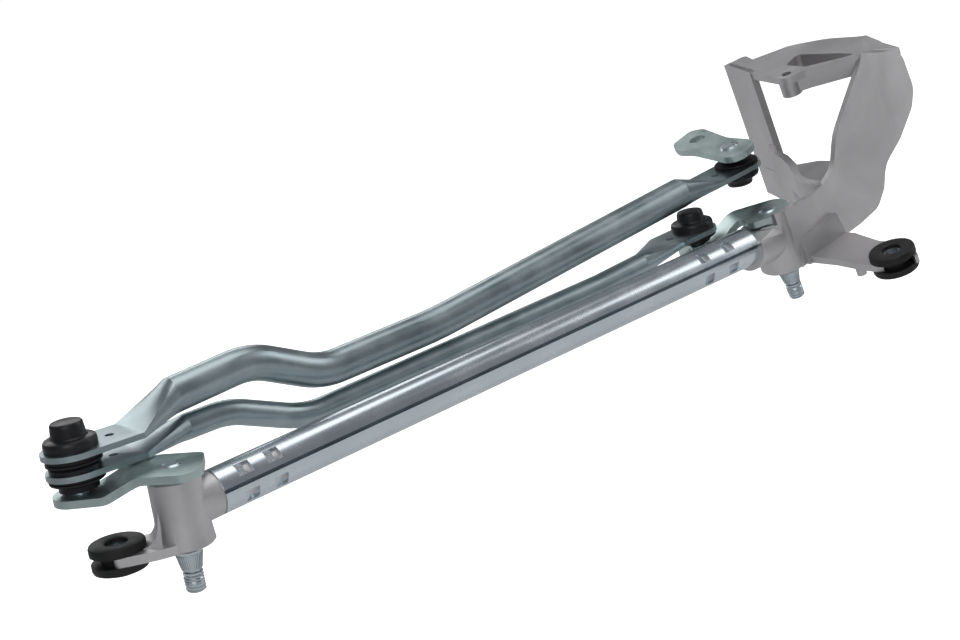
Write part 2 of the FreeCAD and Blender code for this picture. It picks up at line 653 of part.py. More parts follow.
def sockets_and_boots():
    frames = socket_frames()
    open_bore = BALL_D / 2 + DRIFT_CLEARANCE
    deep = BALL_ABOVE_PLATE + PLATE_THICKNESS
    return {
        "link_ball_socket": placed(link_socket(), frames["link"]),
        "drive_ball_socket": placed(capped_socket("passenger"), frames["passenger"]),
        "driver_ball_socket": placed(capped_socket("driver", open_bore), frames["driver"]),
        "crank_ball_socket": placed(capped_socket("crank"), frames["crank"]),
        "link_boot": placed(boot("link", PLATE_THICKNESS / 2), frames["link"]),
        "drive_boot": placed(boot("drive", deep), frames["passenger"]),
        "driver_boot": placed(boot("driver", deep), frames["driver"]),
        "crank_boot": placed(boot("crank", deep), frames["crank"]),
    }


# Rods

def bent_path(points, bends, y_of):
    """Line through (x, z) points with arcs at the inner ones; y follows the ball joints."""
    corners = [V(x, y_of(x), z) for x, z in points]
    edges = []
    start = corners[0]
    for here, following, before, bend in zip(corners[1:-1], corners[2:], corners, bends):
        back = (before - here).normalize()
        ahead = (following - here).normalize()
        half = back.getAngle(ahead) / 2
        reach = bend / math.tan(half)
        middle = here + (back + ahead).normalize() * (bend / math.sin(half) - bend)
        edges.append(Part.makeLine(start, here + back * reach))
        edges.append(Part.Arc(here + back * reach, middle, here + ahead * reach).toShape())
        start = here + ahead * reach
    edges.append(Part.makeLine(start, corners[-1]))
    return Part.Wire(edges)


def round_section(radius, frame):
    """Circle in four arcs, split to match a plate's section."""
    at = [V(0, radius * math.cos(a), radius * math.sin(a))
          for a in [math.radians(45 * k) for k in range(8)]]
    edges = [Part.Arc(at[i], at[(i + 1) % 8], at[(i + 2) % 8]).toShape() for i in (1, 3, 5, 7)]
    return placed(Part.Wire(edges), frame)


def flat_section(width, thickness, frame):
    """Plate's section, in four edges that match a circle's."""
    w, t = width / 2, thickness / 2
    return placed(Part.makePolygon([V(0, w, t), V(0, -w, t), V(0, -w, -t), V(0, w, -t),
                                    V(0, w, t)]), frame)


def end_plate(width, length):
    """Plate with a round end about the ball's axis; Z = 0 mid-plate, the rod towards +X."""
    end = width / 2
    plate = slab(((0, -end, 0), (length, -end, 0), (length, end, 0), (0, end, 0)),
                 -PLATE_THICKNESS / 2, PLATE_THICKNESS / 2)
    plate = merged(plate, disc(end, -PLATE_THICKNESS / 2, PLATE_THICKNESS / 2))
    plate = plate.cut(disc(SOCKET_R, -5, 5))
    return plate.cut(disc(SMALL_HOLE_D / 2, -5, 5, SMALL_HOLE_AT))


def rod(diameter, width, lengths, path, ends):
    """Tube with a pressed plate at each end. Ends are the plates' frames, X to the rod."""
    pieces = []
    first, last = path.Edges[0], path.Edges[-1]
    starts = ((first.valueAt(first.FirstParameter), first.tangentAt(first.FirstParameter)),
              (last.valueAt(last.LastParameter), last.tangentAt(last.LastParameter) * -1))
    side_ways = V(0, 1, 0)
    tube_frame = frame_at(starts[0][0], starts[0][1].cross(side_ways), starts[0][1])
    circle = round_section(diameter / 2, tube_frame)
    pieces.append(path.makePipeShell([circle], True, False))
    for (point, inward), plate_frame, length in zip(starts, ends, lengths):
        across = plate_frame.Rotation.multVec(V(0, 1, 0))
        here = frame_at(point, inward.cross(across), inward)
        edge = plate_frame.multiply(FreeCAD.Placement(V(length, 0, 0), FreeCAD.Rotation()))
        sections = [flat_section(width, PLATE_THICKNESS, edge), round_section(diameter / 2, here)]
        pieces.append(Part.makeLoft(sections, True, True))
        pieces.append(placed(end_plate(width, length), plate_frame))
    return merged(*pieces)


def plate_frame(joint, mid, towards):
    """Frame mid-plate on the joint's axis, X pointing along the rod."""
    frame = socket_frames()[joint]
    origin = frame.multVec(V(0, 0, mid))
    up = frame.Rotation.multVec(V(0, 0, 1))
    return frame_at(origin, up, towards)


def between(first, second):
    """Y of a straight line between two ball joints, as a function of X."""
    a = socket_frames()[first].Base
    b = socket_frames()[second].Base
    return lambda x: a.y + (b.y - a.y) * (x - a.x) / (b.x - a.x)


def drive_rod():
    mid = -BALL_ABOVE_PLATE - PLATE_THICKNESS / 2
    path = bent_path(DRIVE_PATH, DRIVE_BENDS, between("passenger", "crank"))
    ends = (plate_frame("passenger", mid, V(1, 0, 0)), plate_frame("crank", mid, V(-1, 0, 0)))
    return rod(DRIVE_ROD_D, DRIVE_PLATE_WIDTH, (27.0, 24.0), path, ends)


def coupling_rod():
    mid = -BALL_ABOVE_PLATE - PLATE_THICKNESS / 2
    path = bent_path(COUPLING_PATH, COUPLING_BENDS, between("link", "driver"))
    ends = (plate_frame("link", 0.0, V(1, 0, 0)), plate_frame("driver", mid, V(-1, 0, 0)))
    return rod(COUPLING_ROD_D, COUPLING_PLATE_WIDTH, (27.0, 20.0), path, ends)


# Motor crank and mounts

def motor_crank():
    shape = slab(CRANK_OUTLINE, -CRANK_THICKNESS, 0)
    angle = math.radians(CRANK_ANGLE)
    x, y = CRANK_RADIUS * math.cos(angle), CRANK_RADIUS * math.sin(angle)
    shape = shape.cut(disc(CRANK_BORE_D / 2, -10, 10, x, y))
    shape = shape.cut(disc(STUD_SEAT_D / 2, -10, 10))
    return placed(shape, crank_frame())


def mount_frame(side):
    """On the grommet's axis with Z = 0 at the arm's underside."""
    x, y = MOUNT_AT[side]
    return spindle_frame(side).multiply(FreeCAD.Placement(V(x, y, ARM_BOTTOM[side]),
                                                          FreeCAD.Rotation()))


def grommet(side):
    low, high = -GROMMET_LIP, ARM_THICKNESS + GROMMET_LIP
    r, waist = GROMMET_R, GROMMET_WAIST_R
    shape = turned(((SLEEVE_R, low), (r - 1.5, low), (r, low + 1.5), (r, 0), (waist, 0),
                    (waist, ARM_THICKNESS), (r, ARM_THICKNESS), (r, high - 1.5),
                    (r - 1.5, high), (SLEEVE_R, high)))
    return placed(shape, mount_frame(side))


def sleeve_ends():
    """Lower and upper end of a mount's sleeve above the arm's underside."""
    return (-GROMMET_LIP - SLEEVE_FLANGE_THICKNESS, ARM_THICKNESS + GROMMET_LIP + SLEEVE_PROUD)


def grommet_sleeve(side):
    low = -GROMMET_LIP
    flange, high = sleeve_ends()
    shape = turned(((SLEEVE_BORE_R, flange), (SLEEVE_FLANGE_R, flange), (SLEEVE_FLANGE_R, low),
                    (SLEEVE_R, low), (SLEEVE_R, high), (SLEEVE_BORE_R, high)))
    return placed(shape, mount_frame(side))


def pieces():
    made = {
        "frame_tube": frame_tube(),
        "passenger_housing": passenger_housing(),
        "motor_bracket": motor_bracket(),
        "drive_rod": drive_rod(),
        "coupling_rod": coupling_rod(),
        "motor_crank": motor_crank(),
        "double_ball_stud": double_ball_stud(),
        "driver_ball_stud": driver_ball_stud(),
        "crank_ball_stud": crank_ball_stud(),
    }
    made.update(sockets_and_boots())
    for side in SIDES:
        made[side + "_spindle"] = spindle(side)
        made[side + "_lever"] = lever(side)
        made[side + "_upper_bush"] = bush(side, "upper")
        made[side + "_lower_bush"] = bush(side, "lower")
        made[side + "_thrust_washer"] = thrust_washer(side)
        made[side + "_seal_ring"] = seal_ring(side)
        made[side + "_retaining_ring"] = retaining_ring(side)
        made[side + "_grommet"] = grommet(side)
        made[side + "_grommet_sleeve"] = grommet_sleeve(side)
    return made


def finished_origin():
    """Middle of the bore in the passenger mount's sleeve."""
    return mount_frame("passenger").multVec(V(0, 0, sum(sleeve_ends()) / 2))


os.makedirs("parts", exist_ok=True)
move = finished_origin() * -1
for name, shape in pieces().items():
    shape.translate(move)
    print(name, "solids", len(shape.Solids), "valid", shape.isValid(),
          "volume %.0f" % shape.Volume)
    shape.exportStep("parts/" + name + ".step")
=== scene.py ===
# %% [markdown]
# A wiper linkage turns the motor's crank into the sweep of two wiper arms. It has two cast
# housings on a zinc-plated tube, two leaning spindles with their levers, two pressed rods, a
# motor crank and black ball joints. The machined model is already here as a frame, one mesh for
# each piece, so this lesson dresses it. It gives every piece its finish, makes the castings,
# levers, caps and mounts again in their softer shapes, and adds the seam, threads and knurls.

# %% Load the frame and measure it
import json
import math
import bmesh
import bpy
from mathutils import Matrix, Vector


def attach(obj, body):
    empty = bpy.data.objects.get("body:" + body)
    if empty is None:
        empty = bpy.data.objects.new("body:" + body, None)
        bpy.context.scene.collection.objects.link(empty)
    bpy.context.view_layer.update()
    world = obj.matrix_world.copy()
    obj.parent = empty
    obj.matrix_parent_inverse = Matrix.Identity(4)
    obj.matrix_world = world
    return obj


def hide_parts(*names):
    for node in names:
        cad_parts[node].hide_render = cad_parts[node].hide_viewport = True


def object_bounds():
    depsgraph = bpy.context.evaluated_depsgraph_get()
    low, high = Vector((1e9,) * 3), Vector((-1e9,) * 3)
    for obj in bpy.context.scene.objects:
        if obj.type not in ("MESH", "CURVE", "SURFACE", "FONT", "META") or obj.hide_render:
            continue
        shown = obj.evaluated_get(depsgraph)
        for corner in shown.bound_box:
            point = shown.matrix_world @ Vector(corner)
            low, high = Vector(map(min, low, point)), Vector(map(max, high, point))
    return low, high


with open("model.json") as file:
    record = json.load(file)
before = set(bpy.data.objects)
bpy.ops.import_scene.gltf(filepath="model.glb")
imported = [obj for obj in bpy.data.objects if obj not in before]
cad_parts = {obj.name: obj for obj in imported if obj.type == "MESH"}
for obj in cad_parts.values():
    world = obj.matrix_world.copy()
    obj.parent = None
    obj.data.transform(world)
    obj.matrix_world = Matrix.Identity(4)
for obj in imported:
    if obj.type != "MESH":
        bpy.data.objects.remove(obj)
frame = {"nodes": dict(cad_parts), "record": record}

cad_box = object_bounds()
nodes = frame["nodes"]
joints = {joint["name"]: joint for joint in frame["record"]["behaviour"]["joints"]}
passenger_foot = Vector(joints["passenger_pivot"]["pos_m"])
driver_foot = Vector(joints["driver_pivot"]["pos_m"])
print("nodes", len(nodes), "box", [[round(v, 4) for v in corner] for corner in cad_box])

# %% [markdown]
# The camera comes first, because every later choice is judged through it. It could be turned by
# hand until the picture fits. Here its place and directions were worked out from the tube, the
# spindles and the mounts, so the perspective is the photograph's: along the tube from the
# passenger end, slightly from above. The three directions become the columns of its matrix. The
# Standard view transform keeps whites white, as in a catalogue picture.

# %% Camera
CAMERA_PLACE = passenger_foot + Vector((-0.2943, -0.6177, 0.2397))
CAMERA_RIGHT = Vector((0.747, -0.632, -0.204)).normalized()
CAMERA_FORWARD = Vector((0.578, 0.770, -0.271)).normalized()
CAMERA_LENS, SENSOR_WIDTH = 65.6, 36.0
camera_up = CAMERA_RIGHT.cross(CAMERA_FORWARD)
camera_data = bpy.data.cameras.new("photo_camera")
camera_data.lens = CAMERA_LENS
camera_data.sensor_width = SENSOR_WIDTH
camera = bpy.data.objects.new("photo_camera", camera_data)
bpy.context.scene.collection.objects.link(camera)
camera.matrix_world = Matrix((
    (CAMERA_RIGHT.x, camera_up.x, -CAMERA_FORWARD.x, CAMERA_PLACE.x),
    (CAMERA_RIGHT.y, camera_up.y, -CAMERA_FORWARD.y, CAMERA_PLACE.y),
    (CAMERA_RIGHT.z, camera_up.z, -CAMERA_FORWARD.z, CAMERA_PLACE.z),
    (0, 0, 0, 1)))
bpy.context.scene.camera = camera
bpy.context.scene.view_settings.view_transform = "Standard"
print("camera", [round(v, 3) for v in camera.location])

# %% [markdown]
# Plated steel shows the room more than its own colour. One small lamp would give it a single
# hard spark, so four large soft ones stand round the part, as in a photographer's tent, and give
# the tube its bright and dark stripes. Each area lamp is turned to the middle of the part.

# %% Lamps
middle = (Vector(cad_box[0]) + Vector(cad_box[1])) / 2


def lamp(name, place, size, power, colour=(1, 1, 1)):
    data = bpy.data.lights.new(name, "AREA")
    data.shape = "RECTANGLE"
    data.size, data.size_y = size
    data.energy = power
    data.color = colour
    item = bpy.data.objects.new(name, data)
    item.location = middle + Vector(place)
    item.rotation_euler = (-Vector(place)).to_track_quat("-Z", "Y").to_euler()
    bpy.context.scene.collection.objects.link(item)


lamp("top_softbox", (0.1, -0.1, 1.3), (1.5, 0.9), 6.5)
lamp("front_softbox", (-0.9, -1.0, 0.6), (0.9, 0.6), 4.2, (0.96, 0.98, 1))
lamp("right_softbox", (1.2, -0.5, 0.5), (0.6, 1.0), 3.6)
lamp("back_softbox", (0.2, 1.3, 0.7), (1.4, 0.5), 5)
print("lamps", len(bpy.data.lights))

# %% [markdown]
# The part lies on a white page. A white world would wash out the metal, so the Light Path node
# tells camera rays from all others: the camera sees white, and the metal sees a dim grey room.
# The floor does the same. It glows for camera rays alone, so it looks nearly white and still
# takes the part's shadow.

# %% Room and floor
FLOOR_DROP, FLOOR_HALF, FLOOR_GLOW = 0.10, 6, 0.97


def new_tree(name):
    material = bpy.data.materials.new(name)
    material.use_nodes = True
    tree = material.node_tree
    tree.nodes.clear()
    return material, tree


def add(tree, kind, **values):
    """A node with its settings, and its inputs by their names after in_."""
    node = tree.nodes.new(kind)
    for key, value in values.items():
        if key.startswith("in_"):
            node.inputs[key[3:].replace("_", " ")].default_value = value
        else:
            setattr(node, key, value)
    return node


world = bpy.data.worlds.new("studio")
bpy.context.scene.world = world
world.use_nodes = True
sky = world.node_tree
sky.nodes.clear()
light_path = add(sky, "ShaderNodeLightPath")
room = add(sky, "ShaderNodeBackground", in_Color=(0.42, 0.43, 0.45, 1), in_Strength=0.42)
page = add(sky, "ShaderNodeBackground", in_Color=(1, 1, 1, 1), in_Strength=1.0)
pick = add(sky, "ShaderNodeMixShader")
sky_out = add(sky, "ShaderNodeOutputWorld")
sky.links.new(light_path.outputs["Is Camera Ray"], pick.inputs[0])
sky.links.new(room.outputs[0], pick.inputs[1])
sky.links.new(page.outputs[0], pick.inputs[2])
sky.links.new(pick.outputs[0], sky_out.inputs[0])

floor_material, tree = new_tree("pale_floor")
path = add(tree, "ShaderNodeLightPath")
matt = add(tree, "ShaderNodeBsdfDiffuse", in_Color=(0.82, 0.82, 0.82, 1))
glow = add(tree, "ShaderNodeEmission", in_Color=(1, 1, 1, 1), in_Strength=FLOOR_GLOW)
both = add(tree, "ShaderNodeAddShader")
choose = add(tree, "ShaderNodeMixShader")
out = add(tree, "ShaderNodeOutputMaterial")
tree.links.new(matt.outputs[0], both.inputs[0])
tree.links.new(glow.outputs[0], both.inputs[1])
tree.links.new(path.outputs["Is Camera Ray"], choose.inputs[0])
tree.links.new(matt.outputs[0], choose.inputs[1])
tree.links.new(both.outputs[0], choose.inputs[2])
tree.links.new(choose.outputs[0], out.inputs[0])
floor_mesh = bpy.data.meshes.new("floor")
level = cad_box[0][2] - FLOOR_DROP
floor_corners = [(x * FLOOR_HALF, y * FLOOR_HALF, level)
                 for x, y in ((-1, -1), (1, -1), (1, 1), (-1, 1))]
floor_mesh.from_pydata(floor_corners, [], [(0, 1, 2, 3)])
floor_mesh.materials.append(floor_material)
floor = bpy.data.objects.new("floor", floor_mesh)
bpy.context.scene.collection.objects.link(floor)
print("floor at", round(level, 4))

# %% [markdown]
# A finish is never one flat value: its colour, its roughness and its surface all change a
# little from place to place. They could be painted on an unwrapped mesh. A noise on Object
# coordinates needs no unwrapping and moves with the piece, so all finishes here use that. Three
# helpers hold what they share: two tints from a noise, a range of roughness from it, and the
# shader that both end in, with a fine bump.

# %% Helpers for materials
def tinted(tree, noise, dark, light, low=0.0, high=1.0):
    ramp = add(tree, "ShaderNodeValToRGB")
    first, last = ramp.color_ramp.elements
    first.position, last.position = low, high
    first.color, last.color = (*dark, 1), (*light, 1)
    tree.links.new(noise.outputs["Fac"], ramp.inputs["Fac"])
    return ramp.outputs["Color"]


def roughened(tree, noise, low, high, rough):
    gloss = add(tree, "ShaderNodeMapRange", in_From_Min=low, in_From_Max=high,
                in_To_Min=rough[0], in_To_Max=rough[1])
    tree.links.new(noise.outputs["Fac"], gloss.inputs["Value"])
    return gloss.outputs["Result"]


def coated(tree, colour, roughness, grain, bump, depth, **settings):
    relief = add(tree, "ShaderNodeBump", in_Strength=bump, in_Distance=depth)
    tree.links.new(grain.outputs["Fac"], relief.inputs["Height"])
    shader = add(tree, "ShaderNodeBsdfPrincipled", **settings)
    tree.links.new(colour, shader.inputs["Base Color"])
    tree.links.new(roughness, shader.inputs["Roughness"])
    tree.links.new(relief.outputs["Normal"], shader.inputs["Normal"])
    end = add(tree, "ShaderNodeOutputMaterial")
    tree.links.new(shader.outputs[0], end.inputs[0])


print("material helpers ready")

# %% [markdown]
# Zinc plate is bright but never even: the bath leaves faint clouds, and rolling leaves fine
# lines along the strip. One function makes each plated finish, with clouds in its colour and
# roughness, and a noise stretched along the tube for the rolling lines, as a slight bump. The
# metals differ only in tint and grain, so spring steel and bronze come from it too.

# %% Plated steel
def plated(name, light, dark, rough, lines=(40, 900, 900), bump=0.04, clouds=55):
    material, tree = new_tree(name)
    where = add(tree, "ShaderNodeTexCoord")
    cloud = add(tree, "ShaderNodeTexNoise", in_Scale=clouds, in_Detail=5.0, in_Roughness=0.6)
    tree.links.new(where.outputs["Object"], cloud.inputs["Vector"])
    stretch = add(tree, "ShaderNodeMapping", in_Scale=lines)
    tree.links.new(where.outputs["Object"], stretch.inputs["Vector"])
    grain = add(tree, "ShaderNodeTexNoise", in_Scale=1.0, in_Detail=3.0)
    tree.links.new(stretch.outputs["Vector"], grain.inputs["Vector"])
    coated(tree, tinted(tree, cloud, dark, light, 0.32, 0.68),
           roughened(tree, cloud, 0.3, 0.7, rough), grain, bump, 0.0004, in_Metallic=1.0)
    return material



tube_zinc = plated("tube_zinc", (0.70, 0.76, 0.80), (0.62, 0.69, 0.74), (0.22, 0.30),
                   clouds=38)
rod_zinc = plated("rod_zinc", (0.44, 0.51, 0.53), (0.30, 0.37, 0.39), (0.28, 0.44), bump=0.06)
lever_zinc = plated("lever_zinc", (0.56, 0.65, 0.64), (0.40, 0.50, 0.49), (0.32, 0.50),
                    lines=(500, 500, 500), bump=0.05, clouds=90)
spindle_zinc = plated("spindle_zinc", (0.64, 0.70, 0.73), (0.48, 0.55, 0.59), (0.24, 0.40),
                      lines=(300, 300, 300), bump=0.05, clouds=160)
# The seam's finish is zinc made dark as painted shade, for the shade deep in the tube's seam.
seam_painted_shade = plated("seam_painted_shade", (0.16, 0.20, 0.24), (0.10, 0.13, 0.16), (0.35, 0.5))
dark_spring = plated("dark_spring", (0.30, 0.31, 0.33), (0.20, 0.21, 0.23), (0.32, 0.45),
                     lines=(300, 300, 300), clouds=150)
bronze = plated("bush_bronze", (0.62, 0.49, 0.30), (0.50, 0.38, 0.22), (0.35, 0.50),
                lines=(600, 600, 600), clouds=200)
print("finishes so far", len(bpy.data.materials))

# %% [markdown]
# The two housings are die cast in aluminium and left as cast: a satin grey with fine grain and
# soft darker clouds where the metal flowed together. A plain grey metal would look machined, so
# a large distorted noise makes the clouds and a very fine one the grain.

# %% Cast aluminium
def cast_metal(name, light, dark):
    material, tree = new_tree(name)
    where = add(tree, "ShaderNodeTexCoord")
    flow = add(tree, "ShaderNodeTexNoise", in_Scale=28.0, in_Detail=4.0, in_Roughness=0.55,
               in_Distortion=0.6)
    grain = add(tree, "ShaderNodeTexNoise", in_Scale=1400.0, in_Detail=2.0)
    for texture in (flow, grain):
        tree.links.new(where.outputs["Object"], texture.inputs["Vector"])
    coated(tree, tinted(tree, flow, dark, light, 0.30, 0.72),
           roughened(tree, flow, 0.3, 0.7, (0.42, 0.54)), grain, 0.10, 0.0003,
           in_Metallic=1.0)
    return material



cast_grey = cast_metal("cast_grey", (0.66, 0.645, 0.65), (0.52, 0.51, 0.515))
print("cast finish", cast_grey.name)

# %% [markdown]
# The ball sockets are black moulded plastic with a slight sheen. The boots and the mounts are
# softer rubber with a bloom that dulls it in patches. Real black is never zero, and its
# highlights are weak, so the colours stay a little above black and the specular level is low.

# %% Black plastic and rubber
def moulded(name, colour, rough, grain_size, bump):
    material, tree = new_tree(name)
    where = add(tree, "ShaderNodeTexCoord")
    bloom = add(tree, "ShaderNodeTexNoise", in_Scale=120.0, in_Detail=4.0)
    grain = add(tree, "ShaderNodeTexNoise", in_Scale=grain_size, in_Detail=2.0)
    for texture in (bloom, grain):
        tree.links.new(where.outputs["Object"], texture.inputs["Vector"])
    dark, light = [[share * level for level in colour] for share in (0.75, 1.5)]
    coated(tree, tinted(tree, bloom, dark, light), roughened(tree, bloom, 0.35, 0.65, rough),
           grain, bump, 0.0002, in_Metallic=0.0, in_Specular_IOR_Level=0.3)
    return material



black_plastic = moulded("black_plastic", (0.014, 0.014, 0.016), (0.30, 0.42), 900, 0.06)
boot_rubber = moulded("boot_rubber", (0.011, 0.011, 0.012), (0.42, 0.60), 700, 0.10)
mount_rubber = moulded("mount_rubber", (0.013, 0.013, 0.013), (0.46, 0.62), 500, 0.10)
print("finishes in all", len(bpy.data.materials))

# %% [markdown]
# The tube, rods, spindles, bushes and rings look right as machined, so they keep their meshes
# and only take a finish. It could be set on each by hand. Every node names a material slot in
# the record, so one table does it, and a node added later is served too.

# %% Finish the frame's nodes
FINISH = {
    "tube_steel": tube_zinc, "rod_steel": rod_zinc, "lever_steel": lever_zinc,
    "spindle_steel": spindle_zinc, "cast_aluminium": cast_grey, "bush_bronze": bronze,
    "black_plastic": black_plastic, "boot_rubber": boot_rubber,
    "grommet_rubber": mount_rubber, "ring_steel": dark_spring,
}
slot_of = {part["node"]: part["material_slot"] for part in frame["record"]["subparts"]}
for name, item in nodes.items():
    for slot in item.material_slots:
        slot.material = FINISH[slot_of[name]]
print("finished", len(nodes), "nodes")

# %% [markdown]
# The photograph shows softer castings and rounder caps than the frame has, so these pieces are
# made again here, in millimetres. They could be drawn by hand in edit mode. Written as outlines
# with a radius at each corner, every size stays readable and can be changed. The first helpers
# round an outline and raise it to a solid.

# %% Helpers for raised solids
def new_object(name, points, faces):
    mesh = bpy.data.meshes.new(name)
    mesh.from_pydata([tuple(point) for point in points], [], faces)
    item = bpy.data.objects.new(name, mesh)
    bpy.context.scene.collection.objects.link(item)
    shape = bmesh.new()
    shape.from_mesh(mesh)
    bmesh.ops.recalc_face_normals(shape, faces=shape.faces)
    shape.to_mesh(mesh)
    shape.free()
    return item


def outline(corners, step=0.16):
    """Points of a closed outline of (x, y, radius) corners, each rounded by its radius.

    Where a side is too short for its two radii, they shrink until the arcs don't meet.
    """
    points = []
    for i, (x, y, radius) in enumerate(corners):
        here = Vector((x, y))
        back = Vector(corners[i - 1][:2]) - here
        ahead = Vector(corners[(i + 1) % len(corners)][:2]) - here
        half = back.angle(ahead) / 2
        reach = min(radius / math.tan(half), back.length * 0.499, ahead.length * 0.499)
        if reach < 0.01:
            points.append(here)
            continue
        radius = reach * math.tan(half)
        inward = (back.normalized() + ahead.normalized()).normalized()
        centre = here + inward * (radius / math.sin(half))
        first = here + back.normalized() * reach - centre
        sweep = math.pi - 2 * half
        turn = 1 if back.cross(ahead) < 0 else -1
        count = max(2, round(sweep / step))
        for k in range(count + 1):
            angle = turn * sweep * k / count
            points.append(centre + Matrix.Rotation(angle, 2) @ first)
    return points


def raised(name, points, low, high):
    count = len(points)
    lower = [(x, y, low) for x, y in points]
    upper = [(x, y, high) for x, y in points]
    sides = [(i, (i + 1) % count, count + (i + 1) % count, count + i) for i in range(count)]
    ends = [tuple(range(count)), tuple(range(count, 2 * count))]
    return new_object(name, lower + upper, sides + ends)


def slab(corners, low, high):
    return raised("slab", outline(corners), low, high)


def upright_slab(corners, front, back):
    item = raised("upright", outline(corners), -back, -front)
    item.data.transform(Matrix.Rotation(math.radians(90), 4, "X"))
    return item


def circle(radius, x=0.0, y=0.0, count=48):
    turns = [2 * math.pi * i / count for i in range(count)]
    return [(x + radius * math.cos(a), y + radius * math.sin(a)) for a in turns]


def disc(radius, low, high, x=0.0, y=0.0):
    return raised("disc", circle(radius, x, y), low, high)


def along_x(radius, start, end):
    item = disc(radius, start, end)
    item.data.transform(Matrix.Rotation(math.radians(90), 4, "Y"))
    return item


def box(corner, size):
    x, y, z = corner
    return raised("box", [(x, y), (x + size[0], y), (x + size[0], y + size[1]),
                          (x, y + size[1])], z, z + size[2])


print("raised solids ready")

# %% [markdown]
# Ribs and casting walls have one even thickness, and caps and boots are round. A wall is drawn
# as a line that grows to both sides, and a round piece as half of its section, turned about Z.
# Blender's Screw modifier could turn it too. The helper writes the faces itself, so points on
# the axis are shared and the solid is closed.

# %% Helpers for walls and round pieces
def fence(line, thickness, low, high):
    """Upright wall of even thickness along a line of (x, y) points."""
    spots = [Vector(point) for point in line]
    left, right = [], []
    for i, spot in enumerate(spots):
        steps = []
        if i > 0:
            steps.append((spot - spots[i - 1]).normalized())
        if i < len(spots) - 1:
            steps.append((spots[i + 1] - spot).normalized())
        ahead = sum(steps, Vector((0, 0))).normalized()
        side = Vector((-ahead.y, ahead.x)) * thickness / 2 / ahead.dot(steps[0])
        left.append(spot + side)
        right.append(spot - side)
    return raised("fence", left + right[::-1], low, high)


def turned(name, profile, count=56):
    """Turns a closed profile of (radius, height) points about Z."""
    points, rings, faces = [], [], []
    for radius, height in profile:
        if radius < 1e-6:
            points.append((0, 0, height))
            rings.append([len(points) - 1] * count)
        else:
            rings.append(list(range(len(points), len(points) + count)))
            points += [(x, y, height) for x, y in circle(radius, count=count)]
    for here, there in zip(rings, rings[1:] + rings[:1]):
        for k in range(count):
            corners = (here[k], here[(k + 1) % count], there[(k + 1) % count], there[k])
            corners = tuple(dict.fromkeys(corners))
            if len(corners) > 2:
                faces.append(corners)
    return new_object(name, points, faces)


print("walls and round pieces ready")

# %% [markdown]
# A casting is several simple solids grown together, with holes bored through. The Boolean
# modifier does both. Its exact solver is slower than the fast one and copes with faces that
# touch. Each result is taken as a plain mesh at once, and its tools are deleted.

# %% Helpers for joining and cutting
def baked(item):
    """Puts the evaluated mesh in the object's place and takes its modifiers off."""
    view = bpy.context.evaluated_depsgraph_get()
    view.update()
    mesh = bpy.data.meshes.new_from_object(item.evaluated_get(view))
    item.modifiers.clear()
    item.data = mesh
    return item


def combined(kind, first, *others):
    for other in others:
        tool = first.modifiers.new("solid", "BOOLEAN")
        tool.operation = kind
        tool.object = other
        tool.solver = "EXACT"
    baked(first)
    for other in others:
        bpy.data.objects.remove(other)
    return first


def joined(*items):
    return combined("UNION", *items)


def less(*items):
    return combined("DIFFERENCE", *items)


def shared(*items):
    return combined("INTERSECT", *items)


def moved(item, matrix):
    item.data.transform(matrix)
    return item


print("joining and cutting ready")

# %% [markdown]
# Cast and moulded pieces look smooth, yet their corners stay crisp. Smooth shading alone would
# smear light over a corner, so edges steeper than an angle are marked sharp. The last helper
# sets a piece in its place in the row, gives it its finish, and hands it to the body it rides
# on, in the stead of the frame's node where it has one.

# %% Helpers for shading and handing over
TO_METRES = Matrix.Scale(0.001, 4)
SHARP_ANGLE = math.radians(34)
made = []


def softened(item):
    """Smooth shading inside each form, with its corners kept sharp."""
    shape = bmesh.new()
    shape.from_mesh(item.data)
    bmesh.ops.dissolve_degenerate(shape, edges=shape.edges, dist=0.00001)
    for face in shape.faces:
        face.smooth = True
    for edge in shape.edges:
        edge.smooth = edge.is_manifold and edge.calc_face_angle(0) < SHARP_ANGLE
    shape.to_mesh(item.data)
    shape.free()
    return item


def finished(item, name, frame_matrix, body, material, node=None):
    """Moves a piece from its own frame in millimetres to the row, and hands it to its body."""
    item.name = name
    moved(item, Matrix.Translation(passenger_foot) @ TO_METRES @ frame_matrix)
    softened(item)
    item.data.materials.clear()
    item.data.materials.append(material)
    for face in item.data.polygons:
        face.material_index = 0
    if node:
        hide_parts(node)
    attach(item, body)
    made.append(name)
    return item


print("helpers ready")

# %% [markdown]
# Every place in the linkage follows from its two spindles. Each could be typed as a point in
# the row, but then a lever wouldn't follow its spindle. So each spindle has a frame with Z along
# its axis, leant as the joint's axis in the record, and the levers, ball joints and rubber
# mounts are placed from it.

# %% Frames of the mechanism
SPINDLE_SPACING = (driver_foot - passenger_foot).length * 1000
FEET = {"passenger": 0.0, "driver": SPINDLE_SPACING}
LEAN = {side: math.asin(joints[side + "_pivot"]["axis"][0]) for side in FEET}
LEVER_RADIUS, LEVER_ANGLE, LEVER_DROP = 40.0, math.radians(134), 7.0
LEVER_TOP = {"passenger": 18.9, "driver": 14.5}
LEVER_THICKNESS = 3.5


def spindle_frame(side):
    return Matrix.Translation((FEET[side], 0, 0)) @ Matrix.Rotation(LEAN[side], 4, "Y")


def lever_frame(side):
    turn = Matrix.Rotation(LEVER_ANGLE, 4, "Z")
    return spindle_frame(side) @ Matrix.Translation((0, 0, LEVER_TOP[side])) @ turn


def stud_point(side, height):
    return lever_frame(side) @ Vector((LEVER_RADIUS, 0, height - LEVER_DROP))


def frame_at(origin, up):
    across = up.cross(Vector((1, 0, 0))).normalized()
    ahead = across.cross(up).normalized()
    turn = Matrix((ahead, across, up)).transposed().to_4x4()
    return Matrix.Translation(origin) @ turn


def tilted(angle):
    return Vector((-math.sin(math.radians(angle)), 0, math.cos(math.radians(angle))))


